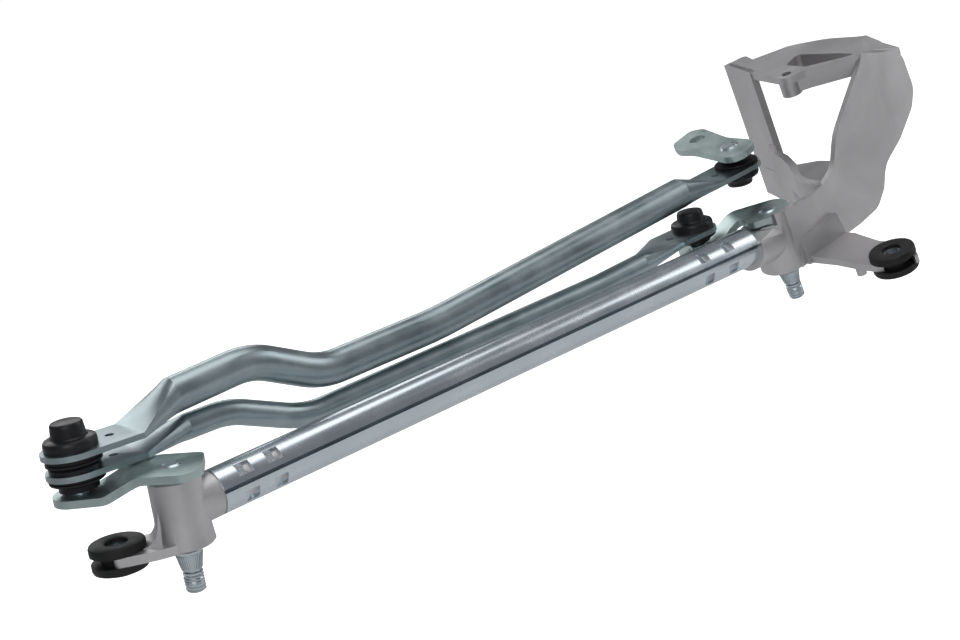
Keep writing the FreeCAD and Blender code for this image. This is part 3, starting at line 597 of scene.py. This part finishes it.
CRANK_PLACE = (18.5, 31.2, 41.9)
BALL_HEIGHT = {"link": 8.85, "drive": 20.7, "driver": 12.0, "crank": -15.9}
crank_frame = spindle_frame("driver") @ Matrix.Translation(CRANK_PLACE)
JOINT_FRAME = {
    "link": frame_at(stud_point("passenger", BALL_HEIGHT["link"]), tilted(-4.0)),
    "drive": frame_at(stud_point("passenger", BALL_HEIGHT["drive"]), tilted(-4.0)),
    "driver": frame_at(stud_point("driver", BALL_HEIGHT["driver"]), tilted(1.0)),
    "crank": frame_at(crank_frame @ Vector((0, 0, BALL_HEIGHT["crank"])), -tilted(4.0)),
}
print("frames", [[round(v, 1) for v in m.translation] for m in JOINT_FRAME.values()])

# %% [markdown]
# The motor bracket is the largest casting: one wall that sweeps up from the hub to a plate with
# a pocket for the motor, with a lower wall, a post, and an arm for the rubber mount. Its form is
# a set of outlines, judged from the photograph, in millimetres in the driver's spindle frame. A
# corner is x, y and a radius, or x, height and a radius in the upright blade. The two lines that
# walls follow, the post and the far rim have points without a radius.

# %% Outlines of the motor bracket
PLATE_TOP = 61.0
BLADE_LINE = ((-3.0, -12.95), (14.0, -13.5), (98.0, -13.5), (127.0, -9.5))
BLADE_OUTLINE = ((-4.0, 15.5, 0), (1.0, 15.5, 0), (17.0, 13.4, 12), (29.0, 13.2, 8),
                 (41.0, 17.0, 14), (50.5, 32.2, 25), (67.7, 44.7, 30), (83.0, 55.5, 8),
                 (88.0, 61.0, 3), (92.0, 61.0, 3), (116.0, 48.5, 22), (122.6, 43.3, 9),
                 (124.4, 22.0, 9), (117.3, 13.3, 12), (96.4, 3.8, 40), (80.3, -2.4, 14),
                 (73.5, -13.6, 10), (64.6, -20.3, 10), (48.0, -20.8, 0), (5.0, -18.0, 0),
                 (-4.0, -18.0, 0))
LOW_WALL = ((28.0, -13.0), (29.4, -3.9), (33.4, 4.6), (46.2, 18.0), (55.0, 30.5), (61.6, 44.5),
            (70.0, 52.0))
POST = ((69.0, 47.0), (80.5, 76.0))
TOP_OUTLINE = ((58.5, 15.5, 5), (70.0, 10.4, 6), (77.6, -1.1, 8), (86.5, -13.5, 0),
               (122.0, -13.5, 0), (118.0, -7.5, 6), (110.5, 2.0, 16), (110.0, 20.5, 40),
               (103.6, 41.6, 25), (100.3, 47.9, 3), (84.3, 58.0, 3), (91.3, 71.0, 3),
               (79.9, 75.5, 3), (67.1, 45.4, 4))
NEAR_RIM = ((63.0, 17.5, 3), (70.0, 10.4, 5), (77.6, -1.1, 8), (86.0, -13.5, 0),
            (93.0, -13.5, 0), (92.5, 34.0, 4), (76.0, 34.0, 4))
FAR_RIM = ((84.8, 59.5), (99.0, 46.6), (108.3, 20.0), (108.7, 2.8), (117.0, -7.0))
POCKET = ((76.5, 29.0, 2.5), (89.5, 31.0, 3), (89.0, 1.0, 8), (87.5, -10.5, 2),
          (84.5, -7.5, 2), (78.5, 4.0, 8), (73.5, 13.5, 3))
KEYHOLE = ((76.5, 20.5, 1.2), (81.5, 20.5, 1.2), (79.0, 27.0, 1.2))
SHOULDER = ((90.4, -15.0, 59.9), (122.9, -15.0, 43.6), (109.0, -1.0, 61.0))
SHOULDER_OUTLINE = ((87.0, -12.5, 0), (124.0, -10.0, 0), (117.0, -6.0, 0), (108.0, 0.0, 0),
                    (93.0, 0.0, 0))
SCREWS = ((65.5, 20.0), (80.3, 64.5), (99.0, 3.0))
DRIVER_ARM = ((2.0, -10.0, 0), (26.0, -10.0, 0), (27.5, -27.0, 10), (21.0, -48.0, 14),
              (20.5, -66.0, 8), (17.5, -71.5, 3), (10.5, -79.8, 1.5), (5.0, -78.0, 1),
              (-2.5, -63.0, 2), (-1.5, -50.0, 10), (1.0, -34.0, 14))
TOE = ((-11, -18), (-17.5, -18), (-17.5, -14), (-14.5, -3), (-11, -3))
print("corners of the blade", len(BLADE_OUTLINE), "and of the plate", len(TOP_OUTLINE))

# %% [markdown]
# Both housings carry a spindle in a round boss, with bushes at its two ends, and a rubber mount
# in an open slot of an arm. They are made by the same functions, with the sizes of each side in
# a table, so the two stay alike where the real ones are.

# %% Bosses, bores and mount slots
MOUNT_AT = {"passenger": (-25.0, 11.5), "driver": (8.0, -66.0)}
ARM_BOTTOM = {"passenger": -15.5, "driver": -18.0}
BOSS_R = {"passenger": 11.2, "driver": 12.6}
BOSS_BOTTOM = {"passenger": -15.5, "driver": -18.5}
BUSH_R, SEAL_R, BORE_R, BUSH_LENGTH = 6.5, 6.9, 5.6, 10
ARM_THICKNESS, WAIST_R = 4.0, 7.6
TUBE_R, TUBE_WALL, SNUG = 10.0, 1.5, 0.02
PLUG_R = TUBE_R - TUBE_WALL - SNUG


def boss_top(side):
    return LEVER_TOP[side] - LEVER_THICKNESS - 1.2


def boss(side):
    radius, low, top = BOSS_R[side], BOSS_BOTTOM[side], boss_top(side)
    return turned("boss", ((0, low), (radius + 0.2, low), (radius + 1, low + 0.8),
                           (radius + 0.7, low + 3.5), (radius, low + 13), (radius, top - 1),
                           (radius - 1, top), (0, top)))


def bores(side):
    low, top = BOSS_BOTTOM[side], boss_top(side)
    return turned("bores", ((0, low - 1), (SEAL_R, low - 1), (SEAL_R, low + 1.6),
                            (BUSH_R, low + 1.6), (BUSH_R, low + 10.6), (BORE_R, low + 10.6),
                            (BORE_R, top - BUSH_LENGTH), (BUSH_R, top - BUSH_LENGTH),
                            (BUSH_R, top + 30), (0, top + 30)))


def mount_slot(side, direction):
    x, y = MOUNT_AT[side]
    low = ARM_BOTTOM[side] - 1
    opening = box((0, -WAIST_R, low), (40, 2 * WAIST_R, ARM_THICKNESS + 2))
    moved(opening, Matrix.Translation((x, y, 0)) @ Matrix.Rotation(direction, 4, "Z"))
    return joined(opening, disc(WAIST_R, low, low + ARM_THICKNESS + 2, x, y))


print("boss tops", [round(boss_top(side), 1) for side in FEET])

# %% [markdown]
# The bracket could be one sculpted mesh. Made from its walls, each stays as thick as die casting
# needs, 3 to 4 mm, and the shape can be checked against the solid in the frame. Two part rings
# thicken the boss into the hub, the shoulder is cut by one sloping plane with a skin left under
# it, and the collar round the tube leaves room for the lever that turns above it. At the end
# the whole is held inside the frame's box.

# %% Motor bracket
WALL, THIN_WALL, SHOULDER_SKIN = 4.0, 3.0, 3.0
HUB_R, HUB_BORE_R, SKIRT_R, SKIRT_BORE_R = 14.2, 12.4, 14.15, 12.0
LUG_R, LUG_DROPS, SCREW_HOLE_R = 5.5, (12.0, 11.0, 11.0), 2.7
COLLAR_R, COLLAR_REACH, PLUG_REACH = 12.8, 24.8, 49
SLOT_TURN, TOE_TURN = math.radians(-124), math.radians(-10)


def shoulder_space(drop=0.0):
    """All that lies above the shoulder's sloping plane, or above it lowered by drop."""
    a, b, c = (Vector(point) for point in SHOULDER)
    out = (b - a).cross(c - a).normalized()
    return moved(box((-100, -100, 0), (200, 200, 100)), frame_at(a - out * drop, out))


def hub_and_skirt():
    low = BOSS_BOTTOM["driver"]
    hub = less(disc(HUB_R, low + 2.5, 16.5), disc(HUB_BORE_R, -40, 40))
    hub = shared(hub, box((-8, -62, -40), (14, 60, 80)))
    skirt = less(disc(SKIRT_R, low + 2.6, 10.4), disc(SKIRT_BORE_R, -40, 40))
    return hub, shared(skirt, box((-16, -62, -40), (32, 58, 80)))


def bracket_walls():
    blade = shared(fence(BLADE_LINE, THIN_WALL, -24, 64), upright_slab(BLADE_OUTLINE, -60, 0))
    wall = joined(fence(LOW_WALL, WALL, -4, 15.5), fence(LOW_WALL[4:] + POST[1:], WALL, -22, -3),
                  fence(POST, WALL, -22, PLATE_TOP))
    corners = ((8.0, -13.0), (8.0, -4.0), (28.5, 2.0)) + LOW_WALL[3:] + ((79.0, 30.0), (79, -13))
    return blade, wall, raised("floor_plate", corners, -4, 0)


def top_plate():
    top = PLATE_TOP
    lugs = [disc(LUG_R, top - drop, top - 0.4, *place) for drop, place in zip(LUG_DROPS, SCREWS)]
    plate = joined(slab(TOP_OUTLINE, top - WALL, top), slab(NEAR_RIM, top - 11, top - 0.01),
                   fence(FAR_RIM, THIN_WALL, top - 7, top - 0.02), *lugs)
    shoulder = shared(slab(SHOULDER_OUTLINE, 38, top - 0.03), shoulder_space(SHOULDER_SKIN))
    return less(joined(plate, shoulder), slab(POCKET, top - 8, top + 1),
                slab(KEYHOLE, 40, top + 1))


def arm_and_toe():
    low = ARM_BOTTOM["driver"]
    arm = less(slab(DRIVER_ARM, low, low + ARM_THICKNESS), mount_slot("driver", SLOT_TURN))
    upright = Matrix(((0, 0, 1, 0), (1, 0, 0, 0), (0, 1, 0, 0), (0, 0, 0, 1)))
    turn = Matrix.Translation((3, 0, 0)) @ Matrix.Rotation(TOE_TURN, 4, "Z")
    return arm, moved(raised("toe", TOE, 0, 28), turn @ upright)


def driver_collar():
    end, top = SPINDLE_SPACING - COLLAR_REACH, boss_top("driver")
    collar = joined(along_x(COLLAR_R, end, SPINDLE_SPACING),
                    along_x(PLUG_R, end - PLUG_REACH, SPINDLE_SPACING - 2))
    lever_room = joined(box((-30, -12, top), (30, 45, 30)), box((-30, 9, top - 6), (18, 24, 12)),
                        disc(16, top, top + 30))
    return less(collar, moved(lever_room, spindle_frame("driver")))


def motor_bracket():
    locating_pin = disc(2.6, -24, -17, 4, -46)
    body = joined(boss("driver"), *hub_and_skirt(), *bracket_walls(), top_plate(),
                  *arm_and_toe(), locating_pin)
    body = less(body, shoulder_space(), disc(SCREW_HOLE_R, 41, 62, *SCREWS[0]),
                disc(SCREW_HOLE_R, 41, 58, *SCREWS[1]), disc(SCREW_HOLE_R, 41, 58, *SCREWS[2]))
    body = joined(moved(body, spindle_frame("driver")), driver_collar())
    body = less(body, moved(bores("driver"), spindle_frame("driver")))
    low, high = [(Vector(corner) - passenger_foot) * 1000 for corner in cad_box]
    return shared(body, box(low, high - low))


finished(motor_bracket(), "bracket_casting", Matrix(), "frame", cast_grey, "motor_bracket")

# %% [markdown]
# The passenger housing is small: the boss, a short arm stiffened by a web, and a spigot that
# the tube is crimped on. The web could be left out at this size, but then the arm would meet the
# boss in a bare corner, and the casting would look too thin to carry the mount.

# %% Passenger housing
def passenger_housing():
    x, y = MOUNT_AT["passenger"]
    end, direction, low = math.hypot(x, y) + 2.5, math.atan2(y, x), ARM_BOTTOM["passenger"]
    arm = slab(((0, -10.5, 0), (12.5, -12.2, 8), (end, -12.2, 2.5), (end, 11.2, 2.5),
                (12.5, 12.2, 8), (0, 10.5, 0)), low, low + ARM_THICKNESS)
    web = upright_slab(((0, low + 0.01, 0), (24, low + 0.01, 0), (24, low + 4.01, 0),
                        (12.2, low + 4.3, 9), (9.0, 3, 0), (0, 3, 0)), -6.4, 6.4)
    arm = moved(joined(arm, web), Matrix.Rotation(direction, 4, "Z"))
    arm = less(arm, mount_slot("passenger", direction))
    body = moved(joined(boss("passenger"), arm), spindle_frame("passenger"))
    body = joined(body, along_x(TUBE_R, 0, 15.4), along_x(TUBE_R - 0.7, 0, 16.6),
                  along_x(PLUG_R, 2, 54.6))
    return less(body, moved(bores("passenger"), spindle_frame("passenger")))


finished(passenger_housing(), "passenger_casting", Matrix(), "frame", cast_grey,
         "passenger_housing")
print("castings", made)

# %% [markdown]
# A lever is stamped from 3.5 mm sheet and folded down once, so that its ball joint clears the
# housing. It could be bent with a modifier, which would thin the sheet at the fold. Here the
# plan of the lever and a bent bar are made apart, and what they share is the lever: its sheet is
# as thick in the fold as beside it.

# %% Levers
FOLD_START, FOLD_END, FOLD_TURN = 15.2, 29.2, math.radians(23)
TIP_R, SPINDLE_HOLE_R, STUD_HOLE_R = 11.4, 4.5, 4.0
LEVER_LEFT = {"passenger": ((14.0, 12.5, 8.0),),
              "driver": ((11.0, 10.8, 4.0), (14.5, 0.0, 5.0), (23.0, 2.5, 10.0), (31.0, 11.0, 6))}
LEVER_RIGHT = {"passenger": ((18.5, -14.0, 3.5), (9.0, -16.0, 5.0)),
               "driver": ((17.0, -13.0, 3.5),)}
LEVER_TAIL = {"passenger": ((-10.5, -13.0, 5.0), (-15.0, 7.0, 6.0), (-11.0, 16.5, 6.0)),
              "driver": ((-11.0, -11.0, 10.8), (-11.0, 10.8, 10.8))}


def lever(side):
    tip = LEVER_RADIUS + TIP_R
    plan = slab((*LEVER_TAIL[side], *LEVER_LEFT[side], (tip, TIP_R, 11.3), (tip, -TIP_R, 11.3),
                 (27.0, -9.5, 8.0), *LEVER_RIGHT[side]), -30, 10)
    start, end, low, drop = FOLD_START, FOLD_END, -LEVER_THICKNESS, LEVER_DROP
    shift = LEVER_THICKNESS * math.tan(math.atan2(drop, end - start) / 2)
    bar = upright_slab(((-60, 0, 0), (start, 0, 9.5), (end, -drop, 6), (90, -drop, 0),
                        (90, low - drop, 0), (end - shift, low - drop, 9.5),
                        (start - shift, low, 6), (-60, low, 0)), -60, 60)
    moved(bar, Matrix.Rotation(FOLD_TURN, 4, "Z"))
    return less(shared(plan, bar), disc(SPINDLE_HOLE_R, -10, 10),
                disc(STUD_HOLE_R, -30, 10, LEVER_RADIUS))


for side in FEET:
    finished(lever(side), side + "_lever_plate", lever_frame(side), side + "_lever_body",
             lever_zinc, side + "_lever")
print("levers", [name for name in made if "lever" in name])

# %% [markdown]
# Each ball joint is a black plastic socket, snapped over a steel ball. Three of them are closed
# by a cap with a rounded top and a wide flange over the rod's pressed end. A cylinder would look
# like one from far off, but the photograph shows the rounded steps, so each is one profile
# turned about its axis, and the hollow for the ball is part of the profile.

# %% Ball sockets
JOINT_BODY = {"drive": "drive_rod_body", "driver": "coupling_rod_body",
              "crank": "drive_rod_body", "link": "coupling_rod_body"}
CAP_HEIGHT = {"drive": 11.4, "driver": 10.2, "crank": 8.8}
HOLLOW_R = {"drive": 5.2, "driver": 5.9, "crank": 5.2}
SOCKET_NECK_R, MOUTH_R, BOWL_STEPS = 8, 4.3, 12


def hollow(radius, low):
    """Inner line of a capped socket from its mouth up to the top of the ball's hollow."""
    start = math.acos(-math.sqrt(radius ** 2 - MOUTH_R ** 2) / radius)
    bowl = [(radius * math.sin(start * k / BOWL_STEPS), radius * math.cos(start * k / BOWL_STEPS))
            for k in range(BOWL_STEPS, -1, -1)]
    return [(5.6, low)] + bowl


def capped_socket(height, radius):
    face, neck = -1.9, SOCKET_NECK_R
    under, top, flange = face - 2.5, face + height, face + 4.8
    outside = [(0, top), (5.6, top), (6.4, top - 0.25), (6.8, top - 0.8), (6.95, top - 1.6),
               (7.4, flange + 0.6), (7.9, flange + 0.1), (9.9, flange - 0.15),
               (10.7, flange - 0.6), (11.1, flange - 1.4), (11.2, flange - 2.2), (11.2, face),
               (neck, face), (neck, under), (8.5, under), (neck, under - 0.6)]
    return turned("socket", outside + hollow(radius, under - 0.6))


for joint, height in CAP_HEIGHT.items():
    finished(capped_socket(height, HOLLOW_R[joint]), joint + "_cap", JOINT_FRAME[joint],
             JOINT_BODY[joint], black_plastic, joint + "_ball_socket")
print("caps", [name for name in made if name.endswith("_cap")])

# %% [markdown]
# At the mouth of each socket sits a rubber boot that keeps grease in and water out. The tall
# ones step in below a shallow groove to a narrow lip. The lowest has no room for that and is a
# ring with one groove. The pairs in the table are a boot's height and the level of its top,
# measured from the ball's centre.

# %% Boots
BOOT_SIZES = {"drive": (3.2, -4.4), "driver": (4.2, -4.4), "crank": (5.0, -4.4),
              "link": (6.0, -1.25)}
LOW_BOOT = 4


def boot(height, top):
    lip = top - height
    if height < LOW_BOOT:
        return turned("boot", ((8.8, top), (11.8, top), (11.8, top - 0.9), (11, top - 1.3),
                               (11, top - 1.9), (11.8, top - 2.3), (11.8, lip), (8.8, lip)))
    step, groove = top - 0.42 * height, top - 0.2 * height
    return turned("boot", ((8.8, top), (11.8, top), (11.8, groove + 0.3), (11.1, groove),
                           (11.8, groove - 0.3), (11.6, step + 0.2), (10.2, step - 0.6),
                           (8.7, step - 0.9), (8.4, step - 1.3), (8.4, lip), (6.9, lip),
                           (6.9, step), (8.8, step + 0.6)))


for joint, (height, top) in BOOT_SIZES.items():
    finished(boot(height, top), joint + "_rubber", JOINT_FRAME[joint], JOINT_BODY[joint],
             boot_rubber, joint + "_boot")
print("boots", [name for name in made if name.endswith("_rubber")])

# %% [markdown]
# The linkage hangs from the car on two rubber mounts, which hold back the noise of the motor.
# Each is a thick ring with a waist that snaps into the slot of an arm, round a steel sleeve for
# the bolt. Both are turned profiles again, placed from the same table that cuts the slots.

# %% Rubber mounts
MOUNT_R, SLEEVE_BORE_R, SLEEVE_R, SLEEVE_FLANGE_R = 11.8, 3.2, 4.6, 7.4


def grommet():
    low, high, r = -4.0, ARM_THICKNESS + 4, MOUNT_R
    return turned("grommet", ((SLEEVE_R, low), (r - 1.8, low), (r - 0.5, low + 0.5),
                              (r, low + 1.6), (r, 0), (WAIST_R, 0), (WAIST_R, ARM_THICKNESS),
                              (r, ARM_THICKNESS), (r, high - 1.2), (r - 0.4, high - 0.4),
                              (r - 1.3, high), (5.6, high), (4.9, high - 0.4),
                              (4.9, high - 2), (SLEEVE_R, high - 2)))


def sleeve():
    top = ARM_THICKNESS + 2.0
    return turned("sleeve", ((SLEEVE_BORE_R, -5), (SLEEVE_FLANGE_R, -5), (SLEEVE_FLANGE_R, -4),
                             (SLEEVE_R, -4), (SLEEVE_R, top), (SLEEVE_BORE_R, top)))


for side, (x, y) in MOUNT_AT.items():
    place = spindle_frame(side) @ Matrix.Translation((x, y, ARM_BOTTOM[side]))
    finished(grommet(), side + "_mount_rubber", place, "frame", mount_rubber, side + "_grommet")
    finished(sleeve(), side + "_mount_sleeve", place, "frame", spindle_zinc,
             side + "_grommet_sleeve")
print("mounts", [name for name in made if "_mount_" in name])

# %% [markdown]
# The tube is rolled from sheet and its two edges meet in a narrow groove, which the photograph
# shows as a dark line. The frame's tube is open there right through its wall. A dark line in the
# finish would miss the depth, so a strip closes the gap from inside, 1.1 mm below the surface.
# The strip's dark colour is painted shade: it stands for the shade that falls into the groove,
# where the real floor is plain zinc.

# %% Seam strip
TUBE_START, SEAM_ANGLE = 16.6, math.radians(80)
SEAM_WIDTH, SEAM_FLOOR, STRIP_THICKNESS = 1.58, 8.1, 0.8
strip = box((TUBE_START, -SEAM_WIDTH / 2, SEAM_FLOOR),
            (SPINDLE_SPACING - COLLAR_REACH - TUBE_START, SEAM_WIDTH, STRIP_THICKNESS))
# The strip takes the painted seam shade, a dark zinc that stands for the groove's shade.
finished(strip, "seam_strip", Matrix.Rotation(SEAM_ANGLE, 4, "X"), "frame", seam_painted_shade)
print("seam strip", round(strip.dimensions.x, 3), "m long")

# %% [markdown]
# Threads, knurls and stake marks repeat one small form many times. A modelled copy for each
# would be long, and a bump in the finish wouldn't change the outline. Geometry Nodes make real
# geometry from a few numbers. Three helpers come first: one starts a tree with its inputs, one
# does sums, and one ends a tree, where copies become real and take their material.

# %% Helpers for geometry trees
def new_geometry_tree(name, inputs):
    tree = bpy.data.node_groups.new(name, "GeometryNodeTree")
    tree.interface.new_socket("Geometry", in_out="OUTPUT", socket_type="NodeSocketGeometry")
    for label, kind, value in inputs:
        socket = tree.interface.new_socket(label, in_out="INPUT", socket_type=kind)
        if value is not None:
            socket.default_value = value
    return tree, tree.nodes.new("NodeGroupInput"), tree.nodes.new("NodeGroupOutput")


def maths(tree, kind, first, second):
    node = tree.nodes.new("ShaderNodeMath")
    node.operation = kind
    for socket, value in zip(node.inputs, (first, second)):
        if isinstance(value, (int, float)):
            socket.default_value = value
        else:
            tree.links.new(value, socket)
    return node.outputs[0]


def end_tree(tree, source, given, out):
    """Every tree ends the same way: real geometry, then its material."""
    real = tree.nodes.new("GeometryNodeRealizeInstances")
    paint = tree.nodes.new("GeometryNodeSetMaterial")
    tree.links.new(source, real.inputs[0])
    tree.links.new(real.outputs[0], paint.inputs["Geometry"])
    tree.links.new(given.outputs["Material"], paint.inputs["Material"])
    tree.links.new(paint.outputs[0], out.inputs[0])


print("tree helpers ready")

# %% [markdown]
# A thread is a ridge wound round the spindle. A spiral curve is its path, and a circle of four
# points, which is a square set on its corner, is its section. Half of the square sinks into the
# metal, so a three-cornered ridge stands out. The turns follow from the length and the pitch.

# %% Thread tree
FLOAT, INTEGER = "NodeSocketFloat", "NodeSocketInt"
PAINT = ("Material", "NodeSocketMaterial", None)
thread_tree, given, out = new_geometry_tree("thread", (
    ("Radius", FLOAT, 3.95), ("Pitch", FLOAT, 1.25), ("Length", FLOAT, 8.0),
    ("Ridge", FLOAT, 0.42), PAINT))
spiral = thread_tree.nodes.new("GeometryNodeCurveSpiral")
spiral.inputs["Resolution"].default_value = 36
turns = maths(thread_tree, "DIVIDE", given.outputs["Length"], given.outputs["Pitch"])
thread_tree.links.new(turns, spiral.inputs["Rotations"])
thread_tree.links.new(given.outputs["Radius"], spiral.inputs["Start Radius"])
thread_tree.links.new(given.outputs["Radius"], spiral.inputs["End Radius"])
thread_tree.links.new(given.outputs["Length"], spiral.inputs["Height"])
section = thread_tree.nodes.new("GeometryNodeCurvePrimitiveCircle")
section.inputs["Resolution"].default_value = 4
thread_tree.links.new(given.outputs["Ridge"], section.inputs["Radius"])
sweep = thread_tree.nodes.new("GeometryNodeCurveToMesh")
sweep.inputs["Fill Caps"].default_value = True
thread_tree.links.new(spiral.outputs[0], sweep.inputs["Curve"])
thread_tree.links.new(section.outputs[0], sweep.inputs["Profile Curve"])
end_tree(thread_tree, sweep.outputs[0], given, out)
print("tree", thread_tree.name, len(thread_tree.nodes), "nodes")

# %% [markdown]
# The wiper arm grips a cone with fine ribs, the knurl. A ring of points carries one small bar
# each. Every bar is turned to its place on the ring and leant to the cone's slope, so half of it
# stands out as a rib. The same tree with a few short bars makes the stake marks, where a
# spindle's or a stud's end was struck to hold the lever.

# %% Knurl tree
knurl_tree, given, out = new_geometry_tree("knurl", (
    ("Count", INTEGER, 40), ("Radius", FLOAT, 5.0), ("Length", FLOAT, 7.0),
    ("Width", FLOAT, 0.5), ("Lean", FLOAT, 0.2), PAINT))
circle_node = knurl_tree.nodes.new("GeometryNodeMeshCircle")
knurl_tree.links.new(given.outputs["Count"], circle_node.inputs["Vertices"])
knurl_tree.links.new(given.outputs["Radius"], circle_node.inputs["Radius"])
bar = knurl_tree.nodes.new("GeometryNodeMeshCube")
size = knurl_tree.nodes.new("ShaderNodeCombineXYZ")
knurl_tree.links.new(given.outputs["Width"], size.inputs["X"])
knurl_tree.links.new(given.outputs["Width"], size.inputs["Y"])
knurl_tree.links.new(given.outputs["Length"], size.inputs["Z"])
knurl_tree.links.new(size.outputs[0], bar.inputs["Size"])
number = knurl_tree.nodes.new("GeometryNodeInputIndex")
part = maths(knurl_tree, "DIVIDE", number.outputs[0], given.outputs["Count"])
angle = maths(knurl_tree, "MULTIPLY", part, 2 * math.pi)
lean = knurl_tree.nodes.new("ShaderNodeCombineXYZ")
knurl_tree.links.new(given.outputs["Lean"], lean.inputs["Y"])
knurl_tree.links.new(angle, lean.inputs["Z"])
copies = knurl_tree.nodes.new("GeometryNodeInstanceOnPoints")
knurl_tree.links.new(circle_node.outputs[0], copies.inputs["Points"])
knurl_tree.links.new(bar.outputs["Mesh"], copies.inputs["Instance"])
knurl_tree.links.new(lean.outputs[0], copies.inputs["Rotation"])
end_tree(knurl_tree, copies.outputs[0], given, out)
print("tree", knurl_tree.name, len(knurl_tree.nodes), "nodes")

# %% [markdown]
# Now the trees are used. The modifier could stay on each piece, but the helpers move and shade
# a piece through its mesh, and with the modifier on that mesh is empty. So each result is taken
# as a plain mesh first. The thread starts just inside the spindle's end and the knurl sits above
# it, both measured from that end. The knurl leans as the cone does.

# %% Threads, knurls and stakes
def grown(name, tree, values):
    """A mesh made by a geometry tree, with its inputs set by name."""
    item = bpy.data.objects.new(name, bpy.data.meshes.new(name))
    bpy.context.scene.collection.objects.link(item)
    maker = item.modifiers.new("maker", "NODES")
    maker.node_group = tree
    for socket in tree.interface.items_tree:
        if socket.in_out == "INPUT" and socket.name in values:
            maker[socket.identifier] = values[socket.name]
    return baked(item)


SPINDLE_REACH, THREAD_LENGTH, THREAD_START, KNURL_START = 20.5, 8.2, 0.7, 13.4
CONE_RISE, CONE_LENGTH = 1.7, 8.6
STAKE = {"Count": 5, "Length": 0.5, "Width": 0.9, "Lean": 0.0, "Material": lever_zinc}
for side in FEET:
    place, body = spindle_frame(side), side + "_lever_body"
    end = BOSS_BOTTOM[side] - SPINDLE_REACH
    thread = grown("thread", thread_tree, {"Length": THREAD_LENGTH, "Material": spindle_zinc})
    moved(thread, Matrix.Translation((0, 0, end + THREAD_START)))
    finished(thread, side + "_thread", place, body, spindle_zinc)
    knurl = grown("knurl", knurl_tree, {"Count": 36, "Radius": 4.85, "Length": 6.8,
                                        "Width": 0.52, "Material": spindle_zinc,
                                        "Lean": math.atan(CONE_RISE / CONE_LENGTH)})
    moved(knurl, Matrix.Translation((0, 0, end + KNURL_START)))
    finished(knurl, side + "_knurl", place, body, spindle_zinc)
    stakes = grown("stakes", knurl_tree, {**STAKE, "Radius": 3.1})
    moved(stakes, Matrix.Translation((0, 0, LEVER_TOP[side] + 0.65)))
    finished(stakes, side + "_stakes", place, body, lever_zinc)
crank_stakes = grown("stakes", knurl_tree, {**STAKE, "Radius": 3.2})
moved(crank_stakes, Matrix.Translation((0, 0, 0.85)))
finished(crank_stakes, "crank_stakes", crank_frame, "crank_body", lever_zinc)
print("pieces in all", len(made))
